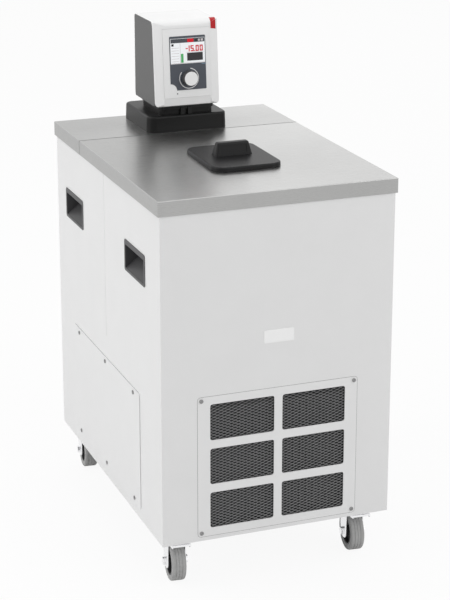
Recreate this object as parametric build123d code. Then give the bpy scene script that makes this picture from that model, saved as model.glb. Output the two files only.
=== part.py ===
from build123d import *
import os
from math import atan2, cos, degrees, radians, sin, tan

# Frame: X to the right, Y to the back, Z up. The origin is on the floor under the middle of the deck
# while the pieces are made. The last step moves it under the middle of the whole outline.

# Overall size
overall_width = 450.0
overall_depth = 640.0
caster_height = 100.0
cabinet_height = 614.2
deck_height = 27.3
side_overhang = 3.9
front_overhang = 2.1

# Sheet thicknesses
panel_sheet = 1.5
tray_sheet = 2.0
deck_sheet = 1.5
tank_sheet = 1.2
plate_sheet = 1.2

# Clearances
seat_gap = 0.3
fit_gap = 0.5
running_gap = 0.05
pocket_gap = 1.0

# Folds of the cabinet sheets
fold_width = 12.0
tray_flange = 25.0
tray_bend = 1.5
deck_bend = 1.2
seam_fold = 11.0
seam_gap = 1.0
seam_y = 145.0

# Joint line on the side sheets
joint_y = 3.0
joint_end_height = 294.0
joint_width = 1.0
joint_depth = 0.6

# Service panels low on the sides
service_front_y = -196.4
service_rear_y = 218.0
service_bottom_height = 21.0
service_top_height = 248.5
service_corner = 3.0
service_screw_edge = 9.0
service_screw_inset = 35.2

# Screws
screw_head = 7.4
screw_head_height = 1.6
screw_shank = 3.6
screw_slot = 1.0
screw_slot_depth = 0.7
screw_slot_turn = 45.0

# Front grille
grille_width = 308.0
grille_bottom_height = 8.0
grille_height = 268.0
grille_corner = 6.0
window_width = 122.5
window_height = 68.5
window_gap_x = 15.6
window_gap_z = 16.0
window_columns = 2
window_rows = 3
window_corner = 4.5
grille_screw_inset = 6.8
ledge_width = 12.0
grille_proud = 0.3

# Expanded mesh behind the windows
mesh_sheet = 1.0
mesh_columns = 5
mesh_rows = 4
mesh_strand = 3.2

# Badge plate
badge_width = 57.0
badge_height = 24.0
badge_bottom_height = 362.0
badge_corner = 2.0
badge_sheet = 0.8

# Handle cups in the sides
cup_length = 115.5
cup_height = 59.0
cup_bottom_height = 463.0
cup_front_y = -179.2
cup_rear_y = 198.5
cup_flange = 1.2
cup_corner = 5.0
cup_wall = 2.5
cup_cavity_length = 104.0
cup_cavity_rise = 5.5
cup_lip = 9.5
cup_hook = 22.0
cup_depth = 31.0
cup_slope = 24.0

# Bath tank
bath_width = 350.0
bath_length = 570.0
bath_depth = 270.0
bath_corner = 28.0
bath_floor_radius = 14.0
insulation_floor = 28.0
insulation_gap = 0.8

# Access opening and its black lid
access_y = -91.0
access_width = 112.0
access_length = 148.0
access_corner = 16.0
lid_width = 134.0
lid_length = 170.0
lid_corner = 24.0
lid_height = 8.0
lid_edge = 3.0
lid_wall = 3.0
lid_rim_gap = 1.5
lid_rim_wall = 2.5
lid_rim_drop = 8.0
grip_width = 74.0
grip_top_width = 61.0
grip_depth = 27.0
grip_top_depth = 15.0
grip_height = 24.0
grip_y = -84.0
grip_edge = 4.0
grip_panel_inset = 5.0
grip_panel_depth = 1.2

# Evaporator coil on the tank's rear wall
coil_tube = 10.0
coil_runs = 5
coil_pitch = 34.0
coil_bend = 15.3
coil_width = 240.0
coil_bottom_height = 40.0
coil_top_margin = 12.0

# Control head: base block, collar and leaning housing
base_width = 164.0
base_length = 160.0
base_height = 31.5
base_front_y = 152.0
base_corner = 17.0
base_edge = 4.0
base_draft = 2.0
base_wall = 3.0
collar_width = 114.0
collar_height = 16.8
collar_front_y = 159.0
collar_rear_y = 280.0
collar_corner = 12.0
collar_wall = 4.0
collar_flange = 6.0
collar_step = 3.0
latch_width = 8.0
latch_spacing = 15.0
latch_proud = 2.5
latch_x = -3.0
head_width = 132.7
head_height = 167.0
head_front_y = 152.8
head_rear_y = 282.6
head_lean = 13.8
head_wall = 3.0
head_nose = 12.0
head_chin = 9.0
head_back_edge = 6.0
head_foot_corner = 10.0
head_crown_corner = 4.0
front_band = 17.5
front_band_sweep = 5.0
front_band_radius = 55.0
profile_allowance = 0.05
side_rim = 1.6
side_rim_front = 1.5
side_plate_sheet = 1.8

# Fascia, control panel, display and knob, as heights up the leaning front
fascia_width = 97.5
fascia_bottom = 17.3
fascia_top = 152.5
fascia_sheet = 2.0
fascia_corner = 1.5
fascia_lap = 8.0
strip_depth = 4.0
panel_x = 1.9
panel_width = 74.0
panel_bottom = 32.0
panel_top_height = 137.2
panel_corner = 2.0
panel_plate = 1.2
panel_proud = 0.3
panel_notch = 13.0
display_x = 2.2
display_width = 71.0
display_bottom = 83.4
display_top = 132.8
display_sheet = 0.8
knob_x = 3.4
knob_height = 54.9
knob_radius = 15.2
knob_top_radius = 14.3
knob_length = 12.3
knob_wall = 2.0
knob_cap_sheet = 0.8
knob_press = 0.8
encoder_radius = 3.0
encoder_reach = 14.0
encoder_head = 8.0

# Accent tab on the head's upper front corner
accent_width = 10.0
accent_length = 13.0
accent_drop = 12.0
accent_sheet = 0.8

# Pump set that hangs from the base into the bath
pump_y = 222.0
bridge_opening_width = 116.0
bridge_opening_front_y = 164.0
bridge_opening_rear_y = 286.0
carrier_sheet = 3.0
carrier_lap = 4.0
carrier_front_y = 170.0
carrier_rear_y = 252.0
rod_radius = 4.0
rod_spacing = 40.0
motor_radius = 34.0
motor_height = 120.0
motor_flange = 6.0
motor_flange_radius = 38.0
shaft_radius = 4.0
pump_radius = 28.0
pump_height = 34.0
pump_depth = 215.0
pump_wall = 3.5
impeller_radius = 21.0
impeller_height = 10.0
impeller_plate = 2.0
impeller_blades = 6
impeller_blade = 2.0
inlet_radius = 9.0
spout_radius = 6.0
spout_length = 14.0
port_spacing = 60.0
port_radius = 8.0
port_thread_length = 16.0
port_height = 15.0
port_pocket_width = 96.0
port_pocket_depth = 20.0
port_pocket_height = 25.0
pipe_radius = 4.5
pipe_bend = 11.25
pipe_y = 266.0
heater_radius = 4.0
heater_spacing = 84.0
heater_y = 180.0
heater_drop = 205.0

# Refrigeration set in the lower cabinet
condenser_width = 284.0
condenser_height = 236.0
condenser_depth = 28.0
condenser_setback = 12.0
condenser_fin_count = 22
condenser_fin_gap = 6.0
condenser_fin_depth = 4.0
condenser_foot = 8.0
shroud_sheet = 1.5
shroud_ring = 16.0
fan_radius = 100.0
fan_tip_gap = 5.0
fan_hub_radius = 28.0
fan_blades = 5
fan_blade_sheet = 2.5
fan_blade_pitch = 28.0
fan_blade_chord = 42.0
fan_depth = 20.0
fan_gap = 3.0
fan_shaft_radius = 3.0
fan_motor_radius = 34.0
fan_motor_length = 40.0
fan_arm = 10.0
compressor_x = 30.0
compressor_y = 70.0
compressor_radius = 88.0
compressor_height = 215.0
compressor_dome = 36.0
compressor_foot = 3.0
compressor_foot_width = 190.0
grommet_radius = 13.0
grommet_height = 12.0
grommet_inset = 18.0
line_radius = 4.0

# Rear sheet: vents, mains inlet and drain pocket
vent_columns = 3
vent_rows = 9
vent_width = 76.0
vent_height = 7.0
vent_pitch_x = 92.0
vent_pitch_z = 15.0
vent_bottom_height = 40.0
inlet_x = 120.0
inlet_height = 275.0
inlet_width = 50.0
inlet_tall = 32.0
inlet_flange = 1.6
inlet_body = 26.0
inlet_socket_depth = 18.0
drain_x = -120.0
drain_pocket_width = 92.0
drain_pocket_bottom_height = 232.0
drain_pocket_height = 92.0
drain_pocket_depth = 42.0
drain_pipe_radius = 7.0
drain_pipe_bend = 11.2
drain_y = 214.0
drain_body_radius = 11.0
drain_nozzle_radius = 6.0
drain_nozzle_end = 5.0
drain_stem_radius = 3.0
drain_stem_rise = 8.0
drain_stem_back = 17.0
drain_handle_length = 28.0
drain_handle_width = 8.0
drain_handle_height = 9.0
drain_handle_corner = 3.2

# Casters
caster_side_inset = 47.0
caster_end_inset = 44.0
caster_turn = -6.0
caster_trail = 24.0
caster_plate_size = 60.0
caster_plate_sheet = 3.0
race_radius = 22.0
race_height = 4.5
kingpin_radius = 5.0
fork_sheet = 2.5
fork_crown = 4.0
fork_front = 30.0
fork_rear = 38.0
fork_foot_radius = 13.0
fork_foot_round = 11.7
fork_crown_edge = 2.0
fork_inner_width = 31.0
wheel_radius = 37.5
tyre_width = 27.0
tyre_inner_radius = 27.5
tyre_shoulder = 4.0
tread_grooves = 3
tread_groove_width = 1.2
tread_groove_depth = 0.8
tread_groove_pitch = 5.5
hub_radius = 9.0
hub_side_gap = 0.8
web_width = 8.0
rim_width = 24.0
rim_wall = 3.0
axle_radius = 4.0
axle_nut = 13.0
axle_nut_height = 5.0

# Places that several pieces share
side_x = overall_width / 2 - side_overhang
rear_y = overall_depth / 2 - front_overhang
front_y = -rear_y
cabinet_bottom = caster_height
lip_bottom = cabinet_bottom + cabinet_height
deck_top = lip_bottom + deck_height
deck_underside = deck_top - deck_sheet
rim_top = deck_underside - seat_gap
panel_top = rim_top - tank_sheet
inside_x = side_x - panel_sheet
inside_y = rear_y - panel_sheet
tray_top = cabinet_bottom + tray_sheet
bath_floor = rim_top - bath_depth
bath_rear_y = bath_length / 2
lid_bottom = deck_top + seat_gap
base_top = deck_top + base_height
head_bottom = base_top + collar_height
lean_angle = atan2(head_lean, head_height)
axle_z = wheel_radius
crown_top = caster_height - caster_plate_sheet - race_height - seat_gap
port_z = deck_top + port_height
port_wall_y = base_front_y + base_length - port_pocket_depth
condenser_front_y = front_y + panel_sheet + condenser_setback
condenser_rear_y = condenser_front_y + condenser_depth
condenser_top = tray_top + condenser_foot + condenser_height
fan_z = tray_top + condenser_foot + condenser_height / 2
fan_y = condenser_rear_y + shroud_sheet + fan_gap
drain_wall_y = inside_y - drain_pocket_depth
drain_z = cabinet_bottom + drain_pocket_bottom_height + drain_pocket_height / 2
drain_stem_y = drain_wall_y + drain_stem_back


def block(x0, x1, y0, y1, z0, z1):
    """A box between two opposite corners."""
    middle = Pos((x0 + x1) / 2, (y0 + y1) / 2, (z0 + z1) / 2)
    return middle * Box(x1 - x0, y1 - y0, z1 - z0)


def outline(points, radii):
    """A closed face through the points, each corner rounded by its radius."""
    return make_face(FilletPolyline(*points, radius=radii, close=True))


def facing_front(y):
    """A work plane that looks to the front, with X to the right and Z up in it."""
    return Plane(origin=(0, y, 0), x_dir=(1, 0, 0), z_dir=(0, -1, 0))


def facing_side(x):
    """A work plane that looks to the right, with Y across and Z up in it."""
    return Plane(origin=(x, 0, 0), x_dir=(0, 1, 0), z_dir=(1, 0, 0))


def level(z):
    """A horizontal work plane at height z."""
    return Plane.XY.offset(z)


def bar_along_x(y, z, radius, x0, x1):
    """A round bar that runs along X."""
    return extrude(facing_side(x0) * Pos(y, z) * Circle(radius), x1 - x0)


def bar_along_y(x, z, radius, y0, y1):
    """A round bar that runs along Y."""
    return extrude(facing_front(y1) * Pos(x, z) * Circle(radius), y1 - y0)


def bar_along_z(x, y, radius, z0, z1):
    """A round bar that runs along Z."""
    return extrude(level(z0) * Pos(x, y) * Circle(radius), z1 - z0)


def tube_on(points, radius, bend):
    """A round tube along straight runs joined by arcs of one bend radius."""
    route = FilletPolyline(*points, radius=bend)
    return sweep(Plane(origin=route @ 0, z_dir=route % 0) * Circle(radius), path=route)


def top_edges(shape):
    """The edges of a shape's highest level face."""
    return shape.faces().sort_by(Axis.Z)[-1].edges()


def mirrored(shape):
    """The right-hand twin of a piece on the left side."""
    return mirror(shape, about=Plane.YZ)


# Cabinet


def base_tray():
    """Folded floor pan that carries the casters and the refrigeration set."""
    pan = block(-inside_x, inside_x, -inside_y, inside_y, cabinet_bottom, cabinet_bottom + tray_flange)
    pan = fillet(pan.faces().sort_by(Axis.Z)[0].edges(), tray_bend)
    pan -= block(
        -inside_x + tray_sheet, inside_x - tray_sheet,
        -inside_y + tray_sheet, inside_y - tray_sheet,
        tray_top, cabinet_bottom + tray_flange,
    )
    notch = (grille_width + ledge_width) / 2 + fit_gap
    flange_back = -inside_y + tray_sheet
    return pan - block(-notch, notch, -inside_y, flange_back, tray_top, cabinet_bottom + tray_flange)


def cup_places():
    """The two places along Y of the handle cups on each side."""
    return [cup_front_y, cup_rear_y]


def side_panel():
    """Left side sheet: folded top, two handle cut-outs and the joint line between its halves."""
    sheet = block(-side_x, -inside_x, -inside_y, inside_y, cabinet_bottom, panel_top)
    fold_y = inside_y - fold_width
    sheet += block(-side_x, -inside_x + fold_width, -fold_y, fold_y, panel_top - panel_sheet, panel_top)
    low, high = cup_body_span()
    reach = cup_cavity_length / 2 + cup_wall + seat_gap
    for y in cup_places():
        sheet -= block(-side_x, -inside_x, y - reach, y + reach, low - seat_gap, high + seat_gap)
    for y, z in service_screw_places():
        sheet -= bar_along_x(y, z, screw_shank / 2, -side_x, -inside_x)
    sheet -= block(
        -side_x, -side_x + joint_depth,
        joint_y - joint_width / 2, joint_y + joint_width / 2,
        cabinet_bottom + joint_end_height, panel_top,
    )
    return sheet


def service_screw_places():
    """Where the screws of a service panel sit, as (y, z) pairs in two rows of three."""
    first = service_front_y + service_screw_inset
    last = service_rear_y - service_screw_inset
    rows = [
        cabinet_bottom + service_bottom_height + service_screw_edge,
        cabinet_bottom + service_top_height - service_screw_edge,
    ]
    return [(y, z) for z in rows for y in (first, (first + last) / 2, last)]


def service_panel():
    """Left service panel: a flat sheet screwed over the lower part of the side."""
    width = service_rear_y - service_front_y
    height = service_top_height - service_bottom_height
    middle_y = (service_front_y + service_rear_y) / 2
    middle_z = cabinet_bottom + (service_bottom_height + service_top_height) / 2
    plane = facing_side(-side_x - plate_sheet)
    face = RectangleRounded(width, height, service_corner)
    sheet = extrude(plane * Pos(middle_y, middle_z) * face, plate_sheet)
    for y, z in service_screw_places():
        sheet -= bar_along_x(y, z, screw_shank / 2, -side_x - plate_sheet, -side_x)
    return sheet


def grille_middle_z():
    """Height of the grille's centre."""
    return cabinet_bottom + grille_bottom_height + grille_height / 2


def wrap_panel():
    """Front or rear sheet, modelled at the front: full width, with returns behind the side sheets."""
    sheet = block(-side_x, side_x, front_y, -inside_y, cabinet_bottom, panel_top)
    back = -inside_y + fold_width
    for side in (-1, 1):
        edges = sorted((side * inside_x, side * (inside_x - panel_sheet)))
        low = cabinet_bottom + tray_flange + fit_gap
        sheet += block(*edges, front_y, back, low, panel_top - panel_sheet)
    reach = inside_x - 2 * panel_sheet
    return sheet + block(-reach, reach, front_y, back, panel_top - panel_sheet, panel_top)


def front_panel():
    """Front sheet with the grille's cut-out and the ledge behind it that the grille screws to."""
    z = grille_middle_z()
    width = grille_width + 2 * seat_gap
    height = grille_height + 2 * seat_gap
    hole = RectangleRounded(width, height, grille_corner)
    cut = extrude(facing_front(-inside_y) * Pos(0, z) * hole, panel_sheet)
    ledge = extrude(
        facing_front(-inside_y + panel_sheet)
        * Pos(0, z)
        * (
            Rectangle(grille_width + ledge_width, grille_height + grille_bottom_height)
            - Rectangle(grille_width - 2 * ledge_width, grille_height - 2 * ledge_width)
        ),
        panel_sheet,
    )
    sheet = wrap_panel() - cut + ledge
    for x, screw_z in grille_screw_places():
        sheet -= bar_along_y(x, screw_z, screw_shank / 2, -inside_y, -inside_y + panel_sheet)
    return sheet


def rear_panel():
    """Rear sheet with rows of vents, the mains inlet's cut-out and the folded drain pocket."""
    sheet = mirror(wrap_panel(), about=Plane.XZ)
    for column in range(vent_columns):
        x = (column - (vent_columns - 1) / 2) * vent_pitch_x
        for row in range(vent_rows):
            z = cabinet_bottom + vent_bottom_height + row * vent_pitch_z
            half = vent_width / 2
            sheet -= block(x - half, x + half, inside_y, rear_y, z - vent_height / 2, z + vent_height / 2)
    inlet_z = cabinet_bottom + inlet_height
    half = inlet_width / 2 - inlet_flange * 2 + seat_gap
    tall = inlet_tall / 2 - inlet_flange * 2 + seat_gap
    sheet -= block(inlet_x - half, inlet_x + half, inside_y, rear_y, inlet_z - tall, inlet_z + tall)
    low_x, high_x = drain_x - drain_pocket_width / 2, drain_x + drain_pocket_width / 2
    low_z = drain_z - drain_pocket_height / 2
    high_z = drain_z + drain_pocket_height / 2
    sheet += block(
        low_x - panel_sheet, high_x + panel_sheet,
        drain_wall_y - panel_sheet, rear_y,
        low_z - panel_sheet, high_z + panel_sheet,
    )
    sheet -= block(low_x, high_x, drain_wall_y, rear_y, low_z, high_z)
    nozzle = drain_nozzle_radius + seat_gap
    return sheet - bar_along_y(drain_x, drain_z, nozzle, drain_wall_y - panel_sheet, drain_wall_y)


def window_places():
    """Centres of the grille's windows, as (x, z) pairs."""
    pitch_x = window_width + window_gap_x
    pitch_z = window_height + window_gap_z
    first_x = -(window_columns - 1) / 2 * pitch_x
    first_z = grille_middle_z() - (window_rows - 1) / 2 * pitch_z
    return [
        (first_x + column * pitch_x, first_z + row * pitch_z)
        for row in range(window_rows)
        for column in range(window_columns)
    ]


def grille_screw_places():
    """Where the grille's corner screws sit, as (x, z) pairs."""
    reach_x = grille_width / 2 - grille_screw_inset
    reach_z = grille_height / 2 - grille_screw_inset
    return [(side * reach_x, grille_middle_z() + end * reach_z) for side in (-1, 1) for end in (-1, 1)]


def grille_frame():
    """Flat grille plate with six rounded windows, let into the front sheet."""
    plane = facing_front(-inside_y)
    face = plane * Pos(0, grille_middle_z()) * RectangleRounded(grille_width, grille_height, grille_corner)
    plate = extrude(face, panel_sheet + grille_proud)
    for x, z in window_places():
        window = plane * Pos(x, z) * RectangleRounded(window_width, window_height, window_corner)
        plate -= extrude(window, panel_sheet + grille_proud)
    for x, z in grille_screw_places():
        plate -= bar_along_y(x, z, screw_shank / 2, front_y - grille_proud, -inside_y)
    return plate


def grille_mesh():
    """Expanded sheet behind the windows, cut into diamonds between crossing strands."""
    reach_x = grille_width / 2 - ledge_width - fit_gap
    reach_z = grille_height / 2 - ledge_width - fit_gap
    z = grille_middle_z()
    sheet = block(-reach_x, reach_x, -inside_y, -inside_y + mesh_sheet, z - reach_z, z + reach_z)
    pitch_x = window_width / mesh_columns
    pitch_z = window_height / mesh_rows
    plane = facing_front(-inside_y + mesh_sheet)
    half_x = pitch_x / 2 - mesh_strand / 2
    half_z = (pitch_z / 2) * half_x / (pitch_x / 2)
    diamond = make_face(Polyline((-half_x, 0), (0, -half_z), (half_x, 0), (0, half_z), close=True))
    lattice = diamond_places(mesh_columns, mesh_rows) + diamond_places(mesh_columns - 1, mesh_rows - 1)
    for x, window_z in window_places():
        sheet -= [
            extrude(plane * Pos(x + across * pitch_x, window_z + up * pitch_z) * diamond, mesh_sheet)
            for across, up in lattice
        ]
    return sheet


def diamond_places(columns, rows):
    """Centres of a centred grid of openings, in pitches, as (across, up) pairs."""
    return [
        (column - (columns - 1) / 2, row - (rows - 1) / 2)
        for row in range(rows)
        for column in range(columns)
    ]


def pan_head(plane, x, y, grip):
    """A slotted pan-head screw on a work plane at (x, y) in it, its shank going a grip's length below."""
    head = extrude(plane * Pos(x, y) * Circle(screw_head / 2), screw_head_height)
    shank = extrude(plane * Pos(x, y) * Circle(screw_shank / 2), -grip)
    slot_plane = plane.offset(screw_head_height - screw_slot_depth)
    slot_face = Pos(x, y) * Rot(0, 0, screw_slot_turn) * Rectangle(screw_head, screw_slot)
    slot = extrude(slot_plane * slot_face, screw_slot_depth)
    return head + shank - slot


def panel_screws():
    """All the pan-head screws of the service panels and the grille, as one group."""
    screws = []
    grille_plane = facing_front(front_y - grille_proud)
    for x, z in grille_screw_places():
        screws.append(pan_head(grille_plane, x, z, grille_proud + 2 * panel_sheet))
    left_plane = Plane(origin=(-side_x - plate_sheet, 0, 0), x_dir=(0, -1, 0), z_dir=(-1, 0, 0))
    for y, z in service_screw_places():
        screw = pan_head(left_plane, -y, z, plate_sheet + panel_sheet)
        screws.append(screw)
        screws.append(mirrored(screw))
    return Compound(screws)


def badge_plate():
    """Blank badge plate on the front sheet."""
    z = cabinet_bottom + badge_bottom_height + badge_height / 2
    face = RectangleRounded(badge_width, badge_height, badge_corner)
    return extrude(facing_front(front_y) * Pos(0, z) * face, badge_sheet)


# Handle cups


def cup_cavity_outline():
    """Section of a cup's hollow across the side, as (x, z) points: sloping floor, deep back, hooked top."""
    low = cabinet_bottom + cup_bottom_height + cup_cavity_rise
    lip = cabinet_bottom + cup_bottom_height + cup_height - cup_lip
    back = -side_x + cup_depth
    hook_x = -inside_x + cup_wall
    return [
        (-side_x, low), (back, low + cup_slope), (back, lip + cup_hook),
        (hook_x, lip + cup_hook), (hook_x, lip), (-side_x, lip),
    ]


def cup_body_span():
    """Lowest and highest point of the cup's body where it passes through the side sheet."""
    points = cup_cavity_outline()
    slope = atan2(cup_slope, cup_depth)
    return points[0][1] - cup_wall / cos(slope), points[-1][1] + cup_wall


def handle_cup(y):
    """Left handle cup: a moulded grip pocket with a flange, a hooked top and a sloping floor."""
    points = cup_cavity_outline()
    section = make_face(Polyline(*points, close=True))
    plane = facing_front(y + cup_cavity_length / 2)
    cavity = extrude(plane * section, cup_cavity_length)
    wall_plane = facing_front(y + cup_cavity_length / 2 + cup_wall)
    outside = offset(section, amount=cup_wall, kind=Kind.INTERSECTION)
    walls = extrude(wall_plane * outside, cup_cavity_length + 2 * cup_wall)
    reach = cup_length
    walls -= block(-side_x - reach, -side_x, y - reach, y + reach, cabinet_bottom, panel_top)
    middle_z = cabinet_bottom + cup_bottom_height + cup_height / 2
    flange_face = Pos(y, middle_z) * RectangleRounded(cup_length, cup_height, cup_corner)
    flange = extrude(facing_side(-side_x - cup_flange) * flange_face, cup_flange)
    window_low, window_high = points[0][1], points[-1][1]
    window = block(
        -side_x - cup_flange, -side_x,
        y - cup_cavity_length / 2, y + cup_cavity_length / 2,
        window_low, window_high,
    )
    return walls + flange - cavity - window


# Deck


def deck_pan(y0, y1, seam):
    """A steel sheet with lips folded down, its seam side cut back to a short fold."""
    half = overall_width / 2
    pan = block(-half, half, y0, y1, lip_bottom, deck_top)
    pan = fillet(top_edges(pan), deck_bend)
    inner = half - deck_sheet
    pan -= block(-inner, inner, y0 + deck_sheet, y1 - deck_sheet, lip_bottom, deck_underside)
    inner = half - deck_sheet
    seam_low, seam_high = (y0, y0 + deck_sheet) if seam == "front" else (y1 - deck_sheet, y1)
    pan -= block(-inner, inner, seam_low, seam_high, lip_bottom, deck_underside)
    fold = bath_width / 2 - seam_fold
    return pan + block(-fold, fold, seam_low, seam_high, deck_underside - seam_fold, deck_underside)


def top_bridge():
    """Fixed rear part of the deck, with the opening that the pump set hangs through."""
    pan = deck_pan(seam_y + seam_gap / 2, overall_depth / 2, "front")
    half = bridge_opening_width / 2
    return pan - block(-half, half, bridge_opening_front_y, bridge_opening_rear_y, deck_underside, deck_top)


def bath_cover():
    """Lift-off front part of the deck, with the access opening."""
    pan = deck_pan(-overall_depth / 2, seam_y - seam_gap / 2, "rear")
    hole = RectangleRounded(access_width, access_length, access_corner)
    opening = level(deck_underside) * Pos(0, access_y) * hole
    return pan - extrude(opening, deck_sheet)


def grip_block():
    """Tapered grip in the middle of the lid, with a shallow panel in its front and back."""
    base = lid_bottom + lid_height
    place = Pos(0, grip_y)
    bottom = level(base - lid_edge) * place * RectangleRounded(grip_width, grip_depth, grip_edge)
    top = level(base + grip_height) * place * RectangleRounded(grip_top_width, grip_top_depth, grip_edge)
    grip = loft([bottom, top])
    grip = fillet(top_edges(grip), grip_edge)
    mean_depth = (grip_depth + grip_top_depth) / 2
    lean = atan2((grip_depth - grip_top_depth) / 2, grip_height + lid_edge)
    middle_z = base + grip_height / 2
    for side in (-1, 1):
        plane = Plane(
            origin=(0, grip_y + side * (mean_depth / 2 - grip_panel_depth), middle_z),
            x_dir=(1, 0, 0),
            z_dir=(0, side * cos(lean), sin(lean)),
        )
        panel = RectangleRounded(
            grip_top_width - 2 * grip_panel_inset, grip_height - 2 * grip_panel_inset, grip_panel_inset / 2
        )
        grip -= extrude(plane * panel, grip_edge)
    return grip


def access_lid():
    """Black lid: a rounded plate, hollow underneath, with a locating rim and a moulded grip."""
    place = Pos(0, access_y)
    plate_face = RectangleRounded(lid_width, lid_length, lid_corner)
    plate = extrude(level(lid_bottom) * place * plate_face, lid_height)
    plate = fillet(top_edges(plate), lid_edge)
    hollow_face = RectangleRounded(lid_width - 2 * lid_wall, lid_length - 2 * lid_wall, lid_corner - lid_wall)
    plate -= extrude(level(lid_bottom) * place * hollow_face, lid_height - lid_wall)
    rim_width = access_width - 2 * lid_rim_gap
    rim_length = access_length - 2 * lid_rim_gap
    rim_corner = access_corner - lid_rim_gap
    rim = RectangleRounded(rim_width, rim_length, rim_corner) - RectangleRounded(
        rim_width - 2 * lid_rim_wall, rim_length - 2 * lid_rim_wall, rim_corner - lid_rim_wall
    )
    rim_bottom = deck_underside - lid_rim_drop
    rim_top_z = lid_bottom + lid_height - lid_wall
    return plate + grip_block() + extrude(level(rim_bottom) * place * rim, rim_top_z - rim_bottom)


# Bath


def rounded_tub(width, length, corner, low, high, floor_radius):
    """A solid tub with rounded corners and a rounded floor edge."""
    tub = extrude(level(low) * RectangleRounded(width, length, corner), high - low)
    return fillet(tub.faces().sort_by(Axis.Z)[0].edges(), floor_radius)


def tank_outside():
    """The outside of the bath tank as a solid."""
    return rounded_tub(
        bath_width + 2 * tank_sheet, bath_length + 2 * tank_sheet, bath_corner + tank_sheet,
        bath_floor - tank_sheet, rim_top, bath_floor_radius + tank_sheet,
    )


def bath_tank():
    """Drawn steel tank with a wide rim that lies on the folds of the cabinet sheets."""
    reach_x, reach_y = inside_x - fit_gap, inside_y - fit_gap
    rim = block(-reach_x, reach_x, -reach_y, reach_y, panel_top, rim_top)
    tank = tank_outside() + rim
    tank -= rounded_tub(bath_width, bath_length, bath_corner, bath_floor, rim_top, bath_floor_radius)
    bore = drain_pipe_radius - tank_sheet
    return tank - bar_along_z(drain_x, drain_y, bore, bath_floor - tank_sheet, bath_floor)


def tank_insulation():
    """Foam round the tank, with pockets for the handle cups and a bore for the drain."""
    reach_x = inside_x - panel_sheet - insulation_gap
    reach_y = inside_y - panel_sheet - insulation_gap
    low = bath_floor - tank_sheet - insulation_floor
    high = panel_top - panel_sheet - insulation_gap
    foam = block(-reach_x, reach_x, -reach_y, reach_y, low, high) - tank_outside()
    points = cup_cavity_outline()
    back = -points[1][0] - cup_wall - pocket_gap
    pocket_low = points[0][1] - cup_wall - pocket_gap
    pocket_high = points[2][1] + cup_wall + pocket_gap
    reach = cup_cavity_length / 2 + cup_wall + pocket_gap
    for y in cup_places():
        pocket = block(-reach_x, -back, y - reach, y + reach, pocket_low, pocket_high)
        foam -= pocket
        foam -= mirrored(pocket)
    return foam - bar_along_z(drain_x, drain_y, drain_pipe_radius, low, bath_floor)


def evaporator_coil():
    """Steel tube bent into flat runs in front of the tank's rear wall."""
    y = bath_rear_y - coil_tube / 2 - seat_gap
    half = coil_width / 2
    low = bath_floor + coil_bottom_height
    top = deck_underside - seam_fold - coil_top_margin
    points = [(-half - coil_pitch / 2, y, top), (-half - coil_pitch / 2, y, low)]
    for run in range(coil_runs):
        z = low + run * coil_pitch
        side = 1 if run % 2 == 0 else -1
        if run > 0:
            points.append((-side * half, y, z))
        points.append((side * half, y, z))
    end_x = points[-1][0]
    points.append((end_x, y, top))
    return tube_on(points, coil_tube / 2, coil_bend)


# Control head


def head_base():
    """Moulded base block: drafted walls, soft top edge, open inside, with a pocket for the pump ports."""
    middle_y = base_front_y + base_length / 2
    footprint = RectangleRounded(base_width, base_length, base_corner)
    body = extrude(level(deck_top) * Pos(0, middle_y) * footprint, base_height, taper=base_draft)
    body = fillet(top_edges(body), base_edge)
    shrink = 2 * base_wall + base_edge
    inner = RectangleRounded(base_width - shrink, base_length - shrink, base_corner - base_wall)
    body -= extrude(level(deck_top) * Pos(0, middle_y) * inner, base_height - base_wall)
    half = port_pocket_width / 2
    pocket_top = deck_top + port_pocket_height
    rear = base_front_y + base_length
    body += block(
        -half - base_wall, half + base_wall,
        port_wall_y - base_wall, rear - base_wall,
        deck_top, base_top - base_wall,
    )
    body -= block(-half, half, port_wall_y, rear, deck_top, pocket_top)
    for side in (-1, 1):
        x = side * port_spacing / 2
        body -= bar_along_y(x, port_z, pipe_radius, port_wall_y - base_wall, port_wall_y)
    mid_y = (collar_front_y + collar_rear_y) / 2
    throat = RectangleRounded(
        collar_width - 2 * collar_wall - 2 * collar_step,
        collar_rear_y - collar_front_y - 2 * collar_wall - 2 * collar_step,
        collar_corner - collar_wall,
    )
    return body - extrude(level(base_top - base_wall) * Pos(0, mid_y) * throat, base_wall)


def collar_prism(inset, low, high):
    """A rounded prism of the collar's outline, drawn in by an inset."""
    face = RectangleRounded(
        collar_width - 2 * inset, collar_rear_y - collar_front_y - 2 * inset, max(collar_corner - inset, 1.0)
    )
    return extrude(level(low) * Pos(0, (collar_front_y + collar_rear_y) / 2) * face, high - low)


def head_collar():
    """Stepped collar between base and head, with the two lugs of its front latch."""
    step_z = head_bottom - collar_flange
    collar = collar_prism(0, step_z, head_bottom) + collar_prism(collar_step, base_top, step_z)
    for side in (-1, 1):
        x = latch_x + side * latch_spacing / 2
        collar += block(
            x - latch_width / 2, x + latch_width / 2,
            collar_front_y - latch_proud, collar_front_y + collar_step + collar_wall,
            base_top + seat_gap, head_bottom - latch_proud,
        )
    return collar - collar_prism(collar_step + collar_wall, base_top, head_bottom)


def head_profile(inset, front_extra=0.0):
    """Side outline of the leaning housing, as a face in (y, z), drawn in by an inset."""
    shift = (inset + front_extra) / cos(lean_angle)
    low = head_bottom + inset
    high = head_bottom + head_height - inset
    front_low = head_front_y + shift + (low - head_bottom) * tan(lean_angle)
    front_high = head_front_y + shift + (high - head_bottom) * tan(lean_angle)
    rear = head_rear_y - inset
    points = [(front_low, low), (rear, low), (rear, high), (front_high, high)]
    back = max(head_back_edge - inset, 1.0)
    return outline(points, [max(head_chin - inset, 1.0), back, back, max(head_nose - inset, 1.0)])


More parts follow.
